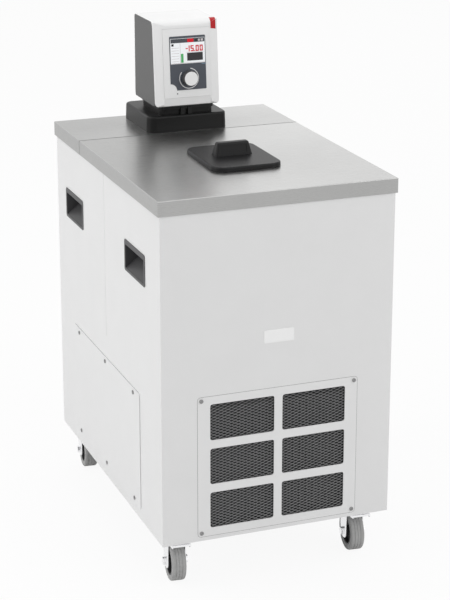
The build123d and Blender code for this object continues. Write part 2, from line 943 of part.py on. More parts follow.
def face_plane(lift=0.0):
    """The leaning front as a work plane: X to the right, the second axis up the slope, lift outwards."""
    normal = Vector(0, -cos(lean_angle), sin(lean_angle))
    origin = Vector(0, head_front_y, head_bottom) + normal * lift
    return Plane(origin=origin, x_dir=(1, 0, 0), z_dir=normal)


def head_outside():
    """The housing's outer form: leaning profile, swept front edges and rounded corners."""
    half = head_width / 2
    form = extrude(Plane.YZ * head_profile(0, -profile_allowance), half + profile_allowance, both=True)
    slope = head_lean / head_height
    drop = head_nose
    y_low = head_front_y - slope * drop
    points = [
        (-half + front_band, y_low), (half - front_band, y_low), (half, y_low + front_band_sweep),
        (half, head_rear_y), (-half, head_rear_y), (-half, y_low + front_band_sweep),
    ]
    small = front_band_sweep * 0.4
    plan = outline(points, [front_band_radius, front_band_radius, small, 0, 0, small])
    form &= extrude(level(head_bottom - drop) * plan, amount=head_height + 2 * drop, dir=(0, slope, 1))
    low, high = head_bottom, head_bottom + head_height
    corners = [(-half, low), (half, low), (half, high), (-half, high)]
    front = outline(corners, [head_foot_corner, head_foot_corner, head_crown_corner, head_crown_corner])
    return form & extrude(facing_front(head_rear_y) * front, head_rear_y - head_front_y + head_nose)


def slope_rectangle(x, low, width, high, corner):
    """A rounded rectangle on the leaning front between two heights up the slope."""
    return Pos(x, (low + high) / 2) * RectangleRounded(width, high - low, corner)


def fascia_outline(gap):
    """The fascia's outline on the leaning front, drawn in by a gap."""
    return slope_rectangle(0, fascia_bottom + gap, fascia_width - 2 * gap, fascia_top - gap, fascia_corner)


def side_plate_solid(gap):
    """The left side plate's space, drawn in by a gap."""
    half = head_width / 2
    inset = head_wall + gap
    face = head_profile(inset - head_wall + side_rim, front_band_sweep + side_rim_front - side_rim)
    return extrude(facing_side(-half) * face, side_plate_sheet)


def head_shell():
    """White housing: open at the sides and underneath, with the fascia's recess and foot strip."""
    half = head_width / 2
    shell = head_outside()
    shell -= extrude(Plane.YZ * head_profile(head_wall + fascia_sheet), half - head_wall, both=True)
    for side in (side_plate_solid(0), mirrored(side_plate_solid(0))):
        shell -= side
    opening = head_profile(head_wall + fascia_sheet + side_rim, front_band_sweep)
    shell -= extrude(Plane.YZ * opening, half, both=True)
    shell -= extrude(face_plane(-fascia_sheet) * fascia_outline(0), fascia_sheet + head_nose)
    low, high = fascia_bottom + fascia_lap, fascia_top - fascia_lap
    opening = slope_rectangle(0, low, fascia_width - 2 * fascia_lap, high, fascia_corner)
    shell -= extrude(face_plane(-3 * head_wall) * opening, head_nose)
    wedge_points = [
        (head_front_y - strip_depth, head_bottom - strip_depth),
        (head_front_y + strip_depth, head_bottom - strip_depth),
        (head_front_y + strip_depth, head_bottom),
        (head_front_y + fascia_bottom * tan(lean_angle), head_bottom + fascia_bottom * cos(lean_angle)),
        (head_front_y - strip_depth, head_bottom + fascia_bottom * cos(lean_angle)),
    ]
    wedge = make_face(Polyline(*wedge_points, close=True))
    shell -= extrude(Plane.YZ * wedge, fascia_width / 2, both=True)
    shell -= accent_tab()
    foot_top = head_bottom + head_wall + fascia_sheet
    return shell - collar_prism(collar_wall + collar_step, head_bottom, foot_top)


def head_side():
    """Dark side plate, let into the left side of the housing."""
    return side_plate_solid(seat_gap)


def encoder_hole(low, high):
    """The knob shaft's bore through the front, between two lifts from the leaning front."""
    return extrude(
        face_plane(low) * Pos(knob_x, knob_height) * Circle(encoder_radius + running_gap), high - low
    )


def panel_outline(gap):
    """The control panel's outline with its round notch low on the left, drawn in by a gap."""
    low, high = panel_bottom + gap, panel_top_height - gap
    face = slope_rectangle(panel_x, low, panel_width - 2 * gap, high, panel_corner)
    corner = Pos(panel_x - panel_width / 2, panel_bottom)
    return face - corner * Circle(panel_notch + gap)


def head_fascia():
    """White front plate with the control panel's shallow recess."""
    plate = extrude(face_plane(-fascia_sheet) * fascia_outline(seat_gap), fascia_sheet)
    recess = panel_plate - panel_proud
    plate -= extrude(face_plane(-recess) * panel_outline(0), recess)
    return plate - encoder_hole(-fascia_sheet, 0)


def control_panel():
    """Dark control panel with the display's recess and the knob's bore."""
    plate = extrude(face_plane(panel_proud - panel_plate) * panel_outline(seat_gap / 2), panel_plate)
    display = slope_rectangle(display_x, display_bottom, display_width, display_top, panel_corner / 2)
    plate -= extrude(face_plane(panel_proud - display_sheet) * display, display_sheet)
    return plate - encoder_hole(panel_proud - panel_plate, panel_proud)


def display_window():
    """Display pane, flush in the control panel."""
    gap = seat_gap / 2
    pane = slope_rectangle(
        display_x, display_bottom + gap, display_width - 2 * gap, display_top - gap, panel_corner / 2
    )
    return extrude(face_plane(panel_proud - display_sheet) * pane, display_sheet)


def accent_tab():
    """Small red tab folded over the housing's upper front edge on the right."""
    half = head_width / 2
    band = extrude(Plane.YZ * (head_profile(0) - head_profile(accent_sheet)), half, both=True)
    top = head_bottom + head_height
    nose_y = head_front_y + head_lean
    window = block(
        half - front_band_sweep - accent_width, half - front_band_sweep * 0.6,
        nose_y - accent_length, nose_y + accent_length, top - accent_drop, top + accent_sheet,
    )
    return band & window & head_outside()


def encoder_shaft():
    """Shaft that the knob turns on and that pushes in with it."""
    low = -fascia_sheet - encoder_reach
    place = face_plane(low) * Pos(knob_x, knob_height)
    return extrude(place * Circle(encoder_radius), encoder_reach + fascia_sheet + panel_proud + encoder_head)


def knob():
    """Dark drafted knob, hollow behind, with a boss that runs on the shaft."""
    low = panel_proud + knob_press + seat_gap
    spot = Pos(knob_x, knob_height)
    body = loft([
        face_plane(low) * spot * Circle(knob_radius),
        face_plane(low + knob_length) * spot * Circle(knob_top_radius),
    ])
    hollow = Circle(knob_top_radius - knob_wall) - Circle(encoder_radius + knob_wall)
    body -= extrude(face_plane(low) * spot * hollow, knob_length - knob_wall - knob_cap_sheet)
    bore_top = panel_proud + encoder_head + running_gap
    body -= extrude(face_plane(low) * spot * Circle(encoder_radius + running_gap), bore_top - low)
    cap_low = low + knob_length - knob_cap_sheet
    seat = Circle(knob_top_radius - knob_cap_sheet)
    return body - extrude(face_plane(cap_low) * spot * seat, knob_cap_sheet)


def knob_cap():
    """White disc let into the knob's face."""
    low = panel_proud + knob_press + seat_gap + knob_length - knob_cap_sheet
    disc = Circle(knob_top_radius - knob_cap_sheet)
    return extrude(face_plane(low) * Pos(knob_x, knob_height) * disc, knob_cap_sheet)


# Pump set


def carrier_top():
    """Height of the carrier plate's upper face."""
    return deck_top + carrier_sheet


def rod_places():
    """The two rods that hold the pump under its carrier, as (x, y) pairs."""
    return [(side * rod_spacing / 2, pump_y) for side in (-1, 1)]


def pump_top():
    """Height of the pump housing's upper face."""
    return deck_top - pump_depth


def pump_carrier():
    """Steel plate across the bridge's opening, with two rods down to the pump housing."""
    half = bridge_opening_width / 2 + carrier_lap
    plate = block(-half, half, carrier_front_y, carrier_rear_y, deck_top, carrier_top())
    for x, y in rod_places():
        plate += bar_along_z(x, y, rod_radius, pump_top(), deck_top)
    return plate - bar_along_z(0, pump_y, shaft_radius * 2, deck_top, carrier_top())


def pump_motor():
    """Motor that stands on the carrier inside the head, with the shaft's bore in its flange."""
    low = carrier_top()
    motor = bar_along_z(0, pump_y, motor_flange_radius, low, low + motor_flange)
    motor += fillet(
        top_edges(bar_along_z(0, pump_y, motor_radius, low, low + motor_height)), motor_flange
    )
    return motor - bar_along_z(0, pump_y, shaft_radius + running_gap, low, low + motor_height / 2)


def pump_housing():
    """Round pump housing with an inlet underneath and an outlet spout to the front."""
    high = pump_top()
    low = high - pump_height
    housing = bar_along_z(0, pump_y, pump_radius, low, high)
    housing = fillet(housing.edges(), pump_wall / 2)
    spout_z = (low + high) / 2
    housing += bar_along_y(0, spout_z, spout_radius, pump_y - pump_radius - spout_length, pump_y)
    housing -= bar_along_z(0, pump_y, impeller_radius + pump_wall / 2, low + pump_wall, high - pump_wall)
    housing -= bar_along_y(0, spout_z, spout_radius / 2, pump_y - pump_radius - spout_length, pump_y)
    housing -= bar_along_z(0, pump_y, inlet_radius, low, low + pump_wall)
    return housing - bar_along_z(0, pump_y, shaft_radius + running_gap, high - pump_wall, high)


def pump_rotor():
    """Long pump shaft with its bladed impeller."""
    floor = pump_top() - pump_height + pump_wall
    low = floor + (pump_height - 2 * pump_wall - impeller_height) / 2
    rotor = bar_along_z(0, pump_y, shaft_radius, low, carrier_top() + motor_height / 2 - seat_gap)
    high = low + impeller_height
    rotor += bar_along_z(0, pump_y, impeller_radius, high - impeller_plate, high)
    for number in range(impeller_blades):
        half = impeller_blade / 2
        blade = block(0, impeller_radius - impeller_blade, -half, half, low, high)
        rotor += Pos(0, pump_y, 0) * Rot(0, 0, number * 360 / impeller_blades) * blade
    return rotor


def immersion_heater():
    """U-shaped heater rod that hangs from the carrier in front of the pump."""
    half = heater_spacing / 2
    low = deck_top - heater_drop
    points = [
        (-half, heater_y, deck_top), (-half, heater_y, low),
        (half, heater_y, low), (half, heater_y, deck_top),
    ]
    return tube_on(points, heater_radius, half * 0.9)


def pump_ports():
    """The two pump pipes: each comes up from the bath, turns back and ends in a threaded port."""
    pipes = []
    bend = pipe_bend
    bore = pipe_radius / 2
    for side in (-1, 1):
        x = side * port_spacing / 2
        points = [(x, pipe_y, pump_top() - pump_height), (x, pipe_y, port_z), (x, port_wall_y, port_z)]
        pipe = tube_on(points, pipe_radius, bend)
        pipe += bar_along_y(x, port_z, port_radius, port_wall_y, port_wall_y + port_thread_length)
        pipe -= bar_along_y(x, port_z, bore, port_wall_y, port_wall_y + port_thread_length)
        pipes.append(pipe)
    return Compound(pipes)


# Refrigeration set


def condenser():
    """Finned condenser block on two feet, with tube bends at its ends."""
    half = condenser_width / 2
    low = tray_top + condenser_foot
    core = block(-half, half, condenser_front_y, condenser_rear_y, low, condenser_top)
    pitch = condenser_width / condenser_fin_count
    for number in range(condenser_fin_count):
        x = -half + pitch * (number + 0.5)
        core -= block(
            x - condenser_fin_gap / 2, x + condenser_fin_gap / 2,
            condenser_front_y, condenser_front_y + condenser_fin_depth,
            low + condenser_foot, condenser_top - condenser_foot,
        )
    for side in (-1, 1):
        x = side * (half - condenser_foot * 2)
        core += block(
            x - condenser_foot, x + condenser_foot, condenser_front_y, condenser_rear_y, tray_top, low
        )
    return core


def fan_shroud():
    """Sheet with a ring round the fan, and three arms that hold the fan motor behind it."""
    half = condenser_width / 2
    opening = fan_radius + fan_tip_gap
    low = condenser_rear_y
    sheet = block(-half, half, low, low + shroud_sheet, tray_top, condenser_top)
    sheet += bar_along_y(0, fan_z, opening + shroud_sheet, low, low + shroud_ring)
    sheet -= bar_along_y(0, fan_z, opening, low, low + shroud_ring)
    motor_y = fan_y + fan_depth + fan_gap
    motor = bar_along_y(0, fan_z, fan_motor_radius, motor_y, motor_y + fan_motor_length)
    sheet += fillet(motor.edges().sort_by(Axis.Y)[-1], fan_arm / 2)
    for number in range(3):
        arm = block(
            -fan_arm / 2, fan_arm / 2, motor_y, motor_y + shroud_sheet * 2,
            fan_motor_radius - fan_arm / 2, opening + shroud_sheet,
        )
        leg = block(
            -fan_arm / 2, fan_arm / 2, low + shroud_ring - shroud_sheet, motor_y + shroud_sheet * 2,
            opening, opening + shroud_sheet,
        )
        sheet += Pos(0, 0, fan_z) * Rot(0, number * 120, 0) * (arm + leg)
    bore = fan_shaft_radius + running_gap
    return sheet - bar_along_y(0, fan_z, bore, motor_y, motor_y + fan_motor_length / 2)


def fan_rotor():
    """Fan with pitched blades on a hub, and the shaft that runs in its motor."""
    hub = bar_along_y(0, fan_z, fan_hub_radius, fan_y, fan_y + fan_depth)
    motor_y = fan_y + fan_depth + fan_gap
    hub += bar_along_y(0, fan_z, fan_shaft_radius, fan_y, motor_y + fan_motor_length / 2 - seat_gap)
    root = fan_hub_radius * 0.8
    for number in range(fan_blades):
        blade = Box(fan_blade_chord, fan_blade_sheet, fan_radius - root)
        blade = Pos(0, fan_y + fan_depth / 2, (fan_radius + root) / 2) * Rot(0, 0, fan_blade_pitch) * blade
        hub += Pos(0, 0, fan_z) * Rot(0, number * 360 / fan_blades, 0) * blade
    return hub & bar_along_y(0, fan_z, fan_radius, fan_y - fan_gap, motor_y + fan_motor_length)


def compressor():
    """Hermetic compressor: a welded domed shell on a foot plate and four grommets."""
    foot_low = tray_top + grommet_height
    shell_low = foot_low + compressor_foot
    shell_high = shell_low + compressor_height
    shell = bar_along_z(compressor_x, compressor_y, compressor_radius, shell_low, shell_high)
    shell = fillet(top_edges(shell), compressor_dome)
    half = compressor_foot_width / 2
    place = Pos(compressor_x, compressor_y)
    foot = RectangleRounded(compressor_foot_width, compressor_foot_width, grommet_inset)
    shell += extrude(level(foot_low) * place * foot, compressor_foot)
    seam_z = shell_low + compressor_height / 2
    shell += bar_along_z(
        compressor_x, compressor_y, compressor_radius + compressor_foot, seam_z, seam_z + compressor_foot
    )
    for side in (-1, 1):
        for end in (-1, 1):
            x = compressor_x + side * (half - grommet_inset)
            y = compressor_y + end * (half - grommet_inset)
            shell += bar_along_z(x, y, grommet_radius, tray_top, foot_low)
    return shell


def refrigerant_lines():
    """Copper lines: from the compressor to the condenser, and up from both into the insulation."""
    shell_top = tray_top + grommet_height + compressor_foot + compressor_height
    foam_low = bath_floor - tank_sheet - insulation_floor
    bend = line_radius * 5
    high = shell_top + bend * 2
    out_x = compressor_x - compressor_radius / 3
    side_run_x = -condenser_width / 2 - bend
    discharge = tube_on(
        [
            (out_x, compressor_y, shell_top), (out_x, compressor_y, high), (side_run_x, compressor_y, high),
            (side_run_x, condenser_rear_y - condenser_depth / 2, high),
            (side_run_x, condenser_rear_y - condenser_depth / 2, condenser_top - bend),
            (-condenser_width / 2, condenser_rear_y - condenser_depth / 2, condenser_top - bend),
        ],
        line_radius, bend * 0.9,
    )
    suction_x = compressor_x + compressor_radius / 3
    suction = bar_along_z(suction_x, compressor_y, line_radius, shell_top, foam_low)
    right_x = condenser_width / 2 + bend
    mid_y = condenser_rear_y - condenser_depth / 2
    liquid = tube_on(
        [
            (condenser_width / 2, mid_y, tray_top + condenser_foot + bend),
            (right_x, mid_y, tray_top + condenser_foot + bend),
            (right_x, mid_y, foam_low),
        ],
        line_radius, bend * 0.9,
    )
    return Compound([discharge, suction, liquid])


# Rear fittings


def mains_inlet():
    """Appliance inlet in the rear sheet: a flange, a body and three flat pins in its socket."""
    z = cabinet_bottom + inlet_height
    half, tall = inlet_width / 2, inlet_tall / 2
    body_half, body_tall = half - 2 * inlet_flange, tall - 2 * inlet_flange
    body = block(inlet_x - half, inlet_x + half, rear_y, rear_y + inlet_flange, z - tall, z + tall)
    body += block(
        inlet_x - body_half, inlet_x + body_half, rear_y - inlet_body, rear_y, z - body_tall, z + body_tall
    )
    face = rear_y + inlet_flange
    socket_half, socket_tall = body_half - 2 * inlet_flange, body_tall - 2 * inlet_flange
    body -= block(
        inlet_x - socket_half, inlet_x + socket_half, face - inlet_socket_depth, face,
        z - socket_tall, z + socket_tall,
    )
    for number in (-1, 0, 1):
        x = inlet_x + number * socket_half / 2
        body += block(
            x - inlet_flange, x + inlet_flange, face - inlet_socket_depth, face - inlet_flange * 2,
            z - socket_tall / 2, z + socket_tall / 2,
        )
    return body


def drain_valve():
    """Drain cock: a pipe from the tank's floor, a valve body and a hose nozzle in the rear pocket."""
    bend = drain_pipe_bend
    valve = tube_on(
        [
            (drain_x, drain_y, bath_floor - tank_sheet),
            (drain_x, drain_y, drain_z),
            (drain_x, drain_wall_y - panel_sheet, drain_z),
        ],
        drain_pipe_radius, bend,
    )
    valve += bar_along_y(
        drain_x, drain_z, drain_body_radius, drain_wall_y - drain_pocket_depth, drain_wall_y - panel_sheet
    )
    nozzle_end = rear_y - drain_nozzle_end
    valve += bar_along_y(drain_x, drain_z, drain_nozzle_radius, drain_wall_y - panel_sheet, nozzle_end)
    collar_half = drain_stem_radius * 2
    valve += bar_along_y(
        drain_x, drain_z, drain_nozzle_radius + panel_sheet,
        drain_stem_y - collar_half, drain_stem_y + collar_half,
    )
    valve -= bar_along_y(drain_x, drain_z, drain_nozzle_radius / 2, drain_stem_y + collar_half, nozzle_end)
    return valve - bar_along_z(
        drain_x, drain_stem_y, drain_stem_radius + running_gap, drain_z, drain_z + drain_body_radius
    )


def drain_handle():
    """Butterfly handle on the drain cock's stem."""
    seat = drain_z + drain_nozzle_radius + panel_sheet + seat_gap
    handle = bar_along_z(drain_x, drain_stem_y, drain_stem_radius, drain_z + seat_gap, seat + drain_stem_rise)
    half = drain_handle_length / 2
    wing = block(
        drain_x - half, drain_x + half,
        drain_stem_y - drain_handle_width / 2, drain_stem_y + drain_handle_width / 2,
        seat, seat + drain_handle_height,
    )
    return handle + fillet(wing.edges().filter_by(Axis.Z), drain_handle_corner)


# Casters


def caster_places():
    """Names and swivel axes of the four casters."""
    x = overall_width / 2 - caster_side_inset
    y = overall_depth / 2 - caster_end_inset
    return {
        "front_left": (-x, -y),
        "front_right": (x, -y),
        "rear_left": (-x, y),
        "rear_right": (x, y),
    }


def caster_plates():
    """Top plate, bearing race and kingpin of each caster, under the base tray."""
    plates = []
    for x, y in caster_places().values():
        low = caster_height - caster_plate_sheet
        plate = extrude(
            level(low) * Pos(x, y) * RectangleRounded(caster_plate_size, caster_plate_size, tyre_shoulder),
            caster_plate_sheet,
        )
        race_low = low - race_height
        race = bar_along_z(x, y, race_radius, race_low, low)
        plate += fillet(race.edges().sort_by(Axis.Z)[0], race_height / 2)
        pin_low = race_low - seat_gap - fork_crown - axle_radius / 2
        plate += bar_along_z(x, y, kingpin_radius, pin_low, race_low)
        plates.append(plate)
    return Compound(plates)


def placed_caster(shape, name):
    """A caster piece, built on its own swivel axis, turned and moved to its corner."""
    x, y = caster_places()[name]
    return Pos(x, y, 0) * Rot(0, 0, caster_turn) * shape


def fork_profile():
    """Side outline of a fork leg, as a face in (y, z): wide crown, swept front, round foot at the axle."""
    foot_low = axle_z - fork_foot_radius
    points = [
        (-fork_front, crown_top), (fork_rear, crown_top),
        (fork_rear + fork_sheet, axle_z + fork_foot_radius),
        (caster_trail + fork_foot_radius, foot_low), (caster_trail - fork_foot_radius, foot_low),
        (caster_trail - fork_foot_radius - fork_sheet, crown_top - fork_foot_radius),
        (-fork_front, crown_top - fork_crown - fork_sheet),
    ]
    round_foot = fork_foot_round
    return outline(points, [0, fork_sheet, round_foot, round_foot, round_foot, fork_foot_radius, fork_sheet])


def caster_fork():
    """Pressed fork: a U of sheet with tapering legs, and the axle bolt riveted through its feet."""
    inner = fork_inner_width / 2
    outer = inner + fork_sheet
    fork = extrude(Plane.YZ * fork_profile(), outer, both=True)
    low = -fork_foot_radius
    front, rear = -fork_front - fork_sheet, fork_rear + fork_front
    fork -= block(-inner, inner, front, rear, low, crown_top - fork_crown)
    fork = fillet(fork.edges().filter_by(Axis.Y).group_by(Axis.Z)[-1], fork_crown_edge)
    fork -= bar_along_z(0, 0, kingpin_radius + running_gap, crown_top - fork_crown, crown_top)
    fork += bar_along_x(caster_trail, axle_z, axle_radius, -outer - axle_nut_height, outer + axle_nut_height)
    for x in (-outer - axle_nut_height, outer):
        nut = facing_side(x) * Pos(caster_trail, axle_z) * RegularPolygon(axle_nut / 2, 6, major_radius=False)
        fork += extrude(nut, axle_nut_height)
    return fork


def caster_hub():
    """Dark wheel centre: a boss that runs on the axle, a web and a rim."""
    boss = fork_inner_width / 2 - hub_side_gap
    bore = axle_radius + running_gap
    rim_inner = tyre_inner_radius - rim_wall
    half_web, half_rim = web_width / 2, rim_width / 2
    points = [
        (bore, -boss), (hub_radius, -boss), (hub_radius, -half_web), (rim_inner, -half_web),
        (rim_inner, -half_rim), (tyre_inner_radius, -half_rim), (tyre_inner_radius, half_rim),
        (rim_inner, half_rim), (rim_inner, half_web), (hub_radius, half_web),
        (hub_radius, boss), (bore, boss),
    ]
    return wheel_turned(make_face(Polyline(*points, close=True)))


def caster_tyre():
    """Grey rubber tyre with rounded shoulders and grooves round its tread."""
    half = tyre_width / 2
    half_rim = rim_width / 2
    points = [
        (tyre_inner_radius, -half_rim), (tyre_inner_radius + rim_wall, -half), (wheel_radius, -half),
        (wheel_radius, half), (tyre_inner_radius + rim_wall, half), (tyre_inner_radius, half_rim),
    ]
    section = outline(points, [0, 1, tyre_shoulder, tyre_shoulder, 1, 0])
    for number in range(tread_grooves):
        place = (number - (tread_grooves - 1) / 2) * tread_groove_pitch
        section -= Pos(wheel_radius, place) * Rectangle(2 * tread_groove_depth, tread_groove_width)
    return wheel_turned(section)


def wheel_turned(section):
    """A wheel piece revolved round the axle from a section in (radius, x)."""
    axle_plane = Plane(origin=(0, caster_trail, axle_z), x_dir=(0, 0, 1), z_dir=(0, -1, 0))
    return revolve(axle_plane * section, Axis((0, caster_trail, axle_z), (1, 0, 0)))


def all_parts():
    """Every node's name with its solid or group of solids."""
    parts = {
        "base_tray": base_tray(),
        "front_panel": front_panel(),
        "rear_panel": rear_panel(),
        "left_panel": side_panel(),
        "right_panel": mirrored(side_panel()),
        "left_service_panel": service_panel(),
        "right_service_panel": mirrored(service_panel()),
        "panel_screws": panel_screws(),
        "grille_frame": grille_frame(),
        "grille_mesh": grille_mesh(),
        "badge_plate": badge_plate(),
        "handle_cup_front_left": handle_cup(cup_front_y),
        "handle_cup_rear_left": handle_cup(cup_rear_y),
        "handle_cup_front_right": mirrored(handle_cup(cup_front_y)),
        "handle_cup_rear_right": mirrored(handle_cup(cup_rear_y)),
        "top_bridge": top_bridge(),
        "bath_cover": bath_cover(),
        "access_lid": access_lid(),
        "bath_tank": bath_tank(),
        "tank_insulation": tank_insulation(),
        "evaporator_coil": evaporator_coil(),
        "head_base": head_base(),
        "head_collar": head_collar(),
        "head_shell": head_shell(),
        "head_side_left": head_side(),
        "head_side_right": mirrored(head_side()),
        "head_fascia": head_fascia(),
        "control_panel": control_panel(),
        "display_window": display_window(),
        "accent_tab": accent_tab(),
        "encoder_shaft": encoder_shaft(),
        "knob": knob(),
        "knob_cap": knob_cap(),
        "pump_carrier": pump_carrier(),
        "pump_motor": pump_motor(),
        "pump_housing": pump_housing(),
        "pump_rotor": pump_rotor(),
        "immersion_heater": immersion_heater(),
        "pump_ports": pump_ports(),
        "condenser": condenser(),
        "fan_shroud": fan_shroud(),
        "fan_rotor": fan_rotor(),
        "compressor": compressor(),
        "refrigerant_lines": refrigerant_lines(),
        "mains_inlet": mains_inlet(),
        "drain_valve": drain_valve(),
        "drain_handle": drain_handle(),
        "caster_plates": caster_plates(),
    }
    fork, hub, tyre = caster_fork(), caster_hub(), caster_tyre()
    for name in caster_places():
        parts["caster_fork_" + name] = placed_caster(fork, name)
        parts["caster_hub_" + name] = placed_caster(hub, name)
        parts["caster_tyre_" + name] = placed_caster(tyre, name)
    return parts


def centred(parts):
    """The same pieces moved so the origin is under the middle of the outline, trailing wheels included."""
    wheels_rear = parts["caster_tyre_rear_left"].bounding_box().max.Y
    move = Pos(0, (overall_depth / 2 - wheels_rear) / 2, 0)
    return {node: move * shape for node, shape in parts.items()}


os.makedirs("parts", exist_ok=True)
for node, shape in centred(all_parts()).items():
    export_step(shape, "parts/" + node + ".step")
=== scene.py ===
import logging
import math
from collections.abc import Callable
from dataclasses import dataclass
from enum import Enum

import bmesh
import bpy
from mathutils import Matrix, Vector
from mathutils.bvhtree import BVHTree


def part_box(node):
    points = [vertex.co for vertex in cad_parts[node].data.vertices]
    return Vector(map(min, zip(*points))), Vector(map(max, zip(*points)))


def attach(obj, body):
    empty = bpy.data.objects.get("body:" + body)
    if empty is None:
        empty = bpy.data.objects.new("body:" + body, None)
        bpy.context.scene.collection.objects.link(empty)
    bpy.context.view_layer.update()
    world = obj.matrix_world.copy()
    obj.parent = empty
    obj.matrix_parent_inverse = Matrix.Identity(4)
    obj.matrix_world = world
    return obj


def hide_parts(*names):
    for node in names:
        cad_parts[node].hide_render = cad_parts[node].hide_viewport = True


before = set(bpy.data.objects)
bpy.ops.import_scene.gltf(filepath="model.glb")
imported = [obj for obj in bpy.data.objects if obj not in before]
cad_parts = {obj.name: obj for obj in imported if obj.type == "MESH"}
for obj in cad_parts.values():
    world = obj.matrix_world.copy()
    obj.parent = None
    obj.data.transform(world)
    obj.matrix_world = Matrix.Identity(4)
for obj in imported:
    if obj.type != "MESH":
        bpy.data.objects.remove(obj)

MM = 0.001
log = logging.getLogger("chiller")
Pair = tuple[float, float]
Triple = tuple[float, float, float]

GRAIN_DETAIL = 2.0
DRIFT_DETAIL = 3.0
BRUSH_DETAIL = 4.0
BRUSH_STRETCH = 0.012
# Painted edge highlight: sharp outer edges are lightened in the base colour, standing in for light caught
# on them.
EDGE_HIGHLIGHT_FROM = 0.53
EDGE_HIGHLIGHT_TO = 0.68
EDGE_HIGHLIGHT_GAIN = 1.6
EDGE_HIGHLIGHT_LIFT = 0.08
SCREEN_GLOW = 0.18
BRUSHED_ANISOTROPY = 0.4
METAL_ROUGHNESS_SPREAD = 0.25
COATED_ROUGHNESS_SPREAD = 0.12


class FinishKind(Enum):
    """How a surface is made, which decides the nodes that dress it."""

    PAINT = "paint"
    MOULDED = "moulded"
    BRUSHED = "brushed"
    BARE_METAL = "bare_metal"
    RUBBER = "rubber"
    SCREEN = "screen"


@dataclass(frozen=True)
class Finish:
    """One finish: its colour and gloss, how strong its grain and colour drift are, and how strong its
    painted edge highlight is.
    """

    name: str
    kind: FinishKind
    color: Triple
    roughness: float
    grain_size_mm: float = 1.0
    grain_depth_mm: float = 0.01
    drift: float = 0.03
    drift_size_mm: float = 60.0
    coat: float = 0.0
    # strength of the painted highlight that lightens sharp outer edges
    edge: float = 0.0
    specular: float = 0.5


PAINT = Finish(
    "powder_coat", FinishKind.PAINT, (0.74, 0.74, 0.74), 0.45, 0.9, 0.006, 0.02, edge=0.05, specular=0.3,
)
GRILLE = Finish(
    "grille_coat", FinishKind.PAINT, (0.74, 0.74, 0.74), 0.45, 0.9, 0.006, 0.02, edge=0.08, specular=0.3,
)
TRAY = Finish("tray_coat", FinishKind.PAINT, (0.30, 0.31, 0.32), 0.55, 1.2, 0.01, 0.06)
STRAND = Finish(
    "strand_coat", FinishKind.PAINT, (0.22, 0.22, 0.222), 0.25, 1.5, 0.01, 0.10, 9.0, edge=0.3,
)
BADGE = Finish("badge_white", FinishKind.MOULDED, (0.86, 0.86, 0.86), 0.25, 0.6, 0.002, 0.01, coat=0.3)
CUP = Finish(
    "cup_grey", FinishKind.MOULDED, (0.06, 0.06, 0.062),
    0.5, 0.7, 0.012, 0.10, 25.0, edge=0.3, specular=0.35,
)
DECK = Finish("deck_brushed", FinishKind.BRUSHED, (0.42, 0.42, 0.415), 0.30, 0.5, 0.002, 0.05, 90.0)
TANK = Finish("tank_satin", FinishKind.BRUSHED, (0.66, 0.66, 0.66), 0.32, 0.7, 0.003, 0.06, 70.0)
FOAM = Finish("foam_cream", FinishKind.MOULDED, (0.78, 0.70, 0.48), 0.9, 2.0, 0.2, 0.08, 30.0)
LID = Finish(
    "lid_black", FinishKind.MOULDED, (0.009, 0.009, 0.0095),
    0.42, 0.6, 0.008, 0.08, 40.0, edge=0.12, specular=0.2,
)
BLACK = Finish(
    "head_black", FinishKind.MOULDED, (0.005, 0.005, 0.005),
    0.38, 0.6, 0.006, 0.08, 40.0, edge=0.12, specular=0.2,
)
WHITE = Finish(
    "head_white", FinishKind.MOULDED, (0.84, 0.84, 0.84), 0.38, 0.6, 0.003, 0.015, coat=0.1, specular=0.3,
)
SIDE = Finish(
    "side_grey", FinishKind.MOULDED, (0.098, 0.098, 0.098), 0.45, 0.6, 0.006, 0.06, 50.0, specular=0.3,
)
SLATE = Finish(
    "panel_slate", FinishKind.MOULDED, (0.052, 0.060, 0.078), 0.38, 0.5, 0.003, 0.05, 30.0, coat=0.1,
)
ACCENT = Finish(
    "accent_red", FinishKind.MOULDED, (0.46, 0.006, 0.010), 0.36, 0.6, 0.003, 0.04, specular=0.3,
)
KNOB = Finish("knob_grey", FinishKind.MOULDED, (0.06, 0.06, 0.062), 0.38, 0.5, 0.005, 0.06, edge=0.3)
KNOB_CAP = Finish("knob_white", FinishKind.MOULDED, (0.86, 0.86, 0.86), 0.3, 0.5, 0.002, 0.01, coat=0.2)
BATH = Finish("bath_steel", FinishKind.BRUSHED, (0.60, 0.60, 0.60), 0.3, 0.7, 0.003, 0.06)
ENAMEL = Finish("black_enamel", FinishKind.PAINT, (0.012, 0.012, 0.013), 0.4, 1.2, 0.01, 0.10)
# Near-black condenser fins: painted shade for the dark inside of the cabinet seen through the grille; a
# black fin coating is assumed.
FINS_SHADE = Finish("fins_painted_shade", FinishKind.PAINT, (0.012, 0.012, 0.013), 0.6, 1.2, 0.02, 0.12)
COPPER = Finish("copper_tube", FinishKind.BARE_METAL, (0.66, 0.32, 0.17), 0.28, 4.0, 0.003, 0.12, 25.0)
BRASS = Finish("valve_brass", FinishKind.BARE_METAL, (0.62, 0.44, 0.17), 0.26, 3.0, 0.003, 0.10, 20.0)
INLET = Finish("inlet_black", FinishKind.MOULDED, (0.012, 0.012, 0.012), 0.45, 0.6, 0.01, 0.08)
ZINC = Finish("bright_zinc", FinishKind.BARE_METAL, (0.86, 0.86, 0.87), 0.26, 2.5, 0.003, 0.07, 14.0)
SCREW = Finish("screw_steel", FinishKind.BARE_METAL, (0.30, 0.30, 0.30), 0.34, 1.5, 0.003, 0.06, 8.0)
# painted shade for the recess gaps round the grille and the service panels
SEAM_SHADE = Finish("seam_shadow", FinishKind.PAINT, (0.30, 0.30, 0.30), 0.8, 0.9, 0.004, 0.04, specular=0.1)
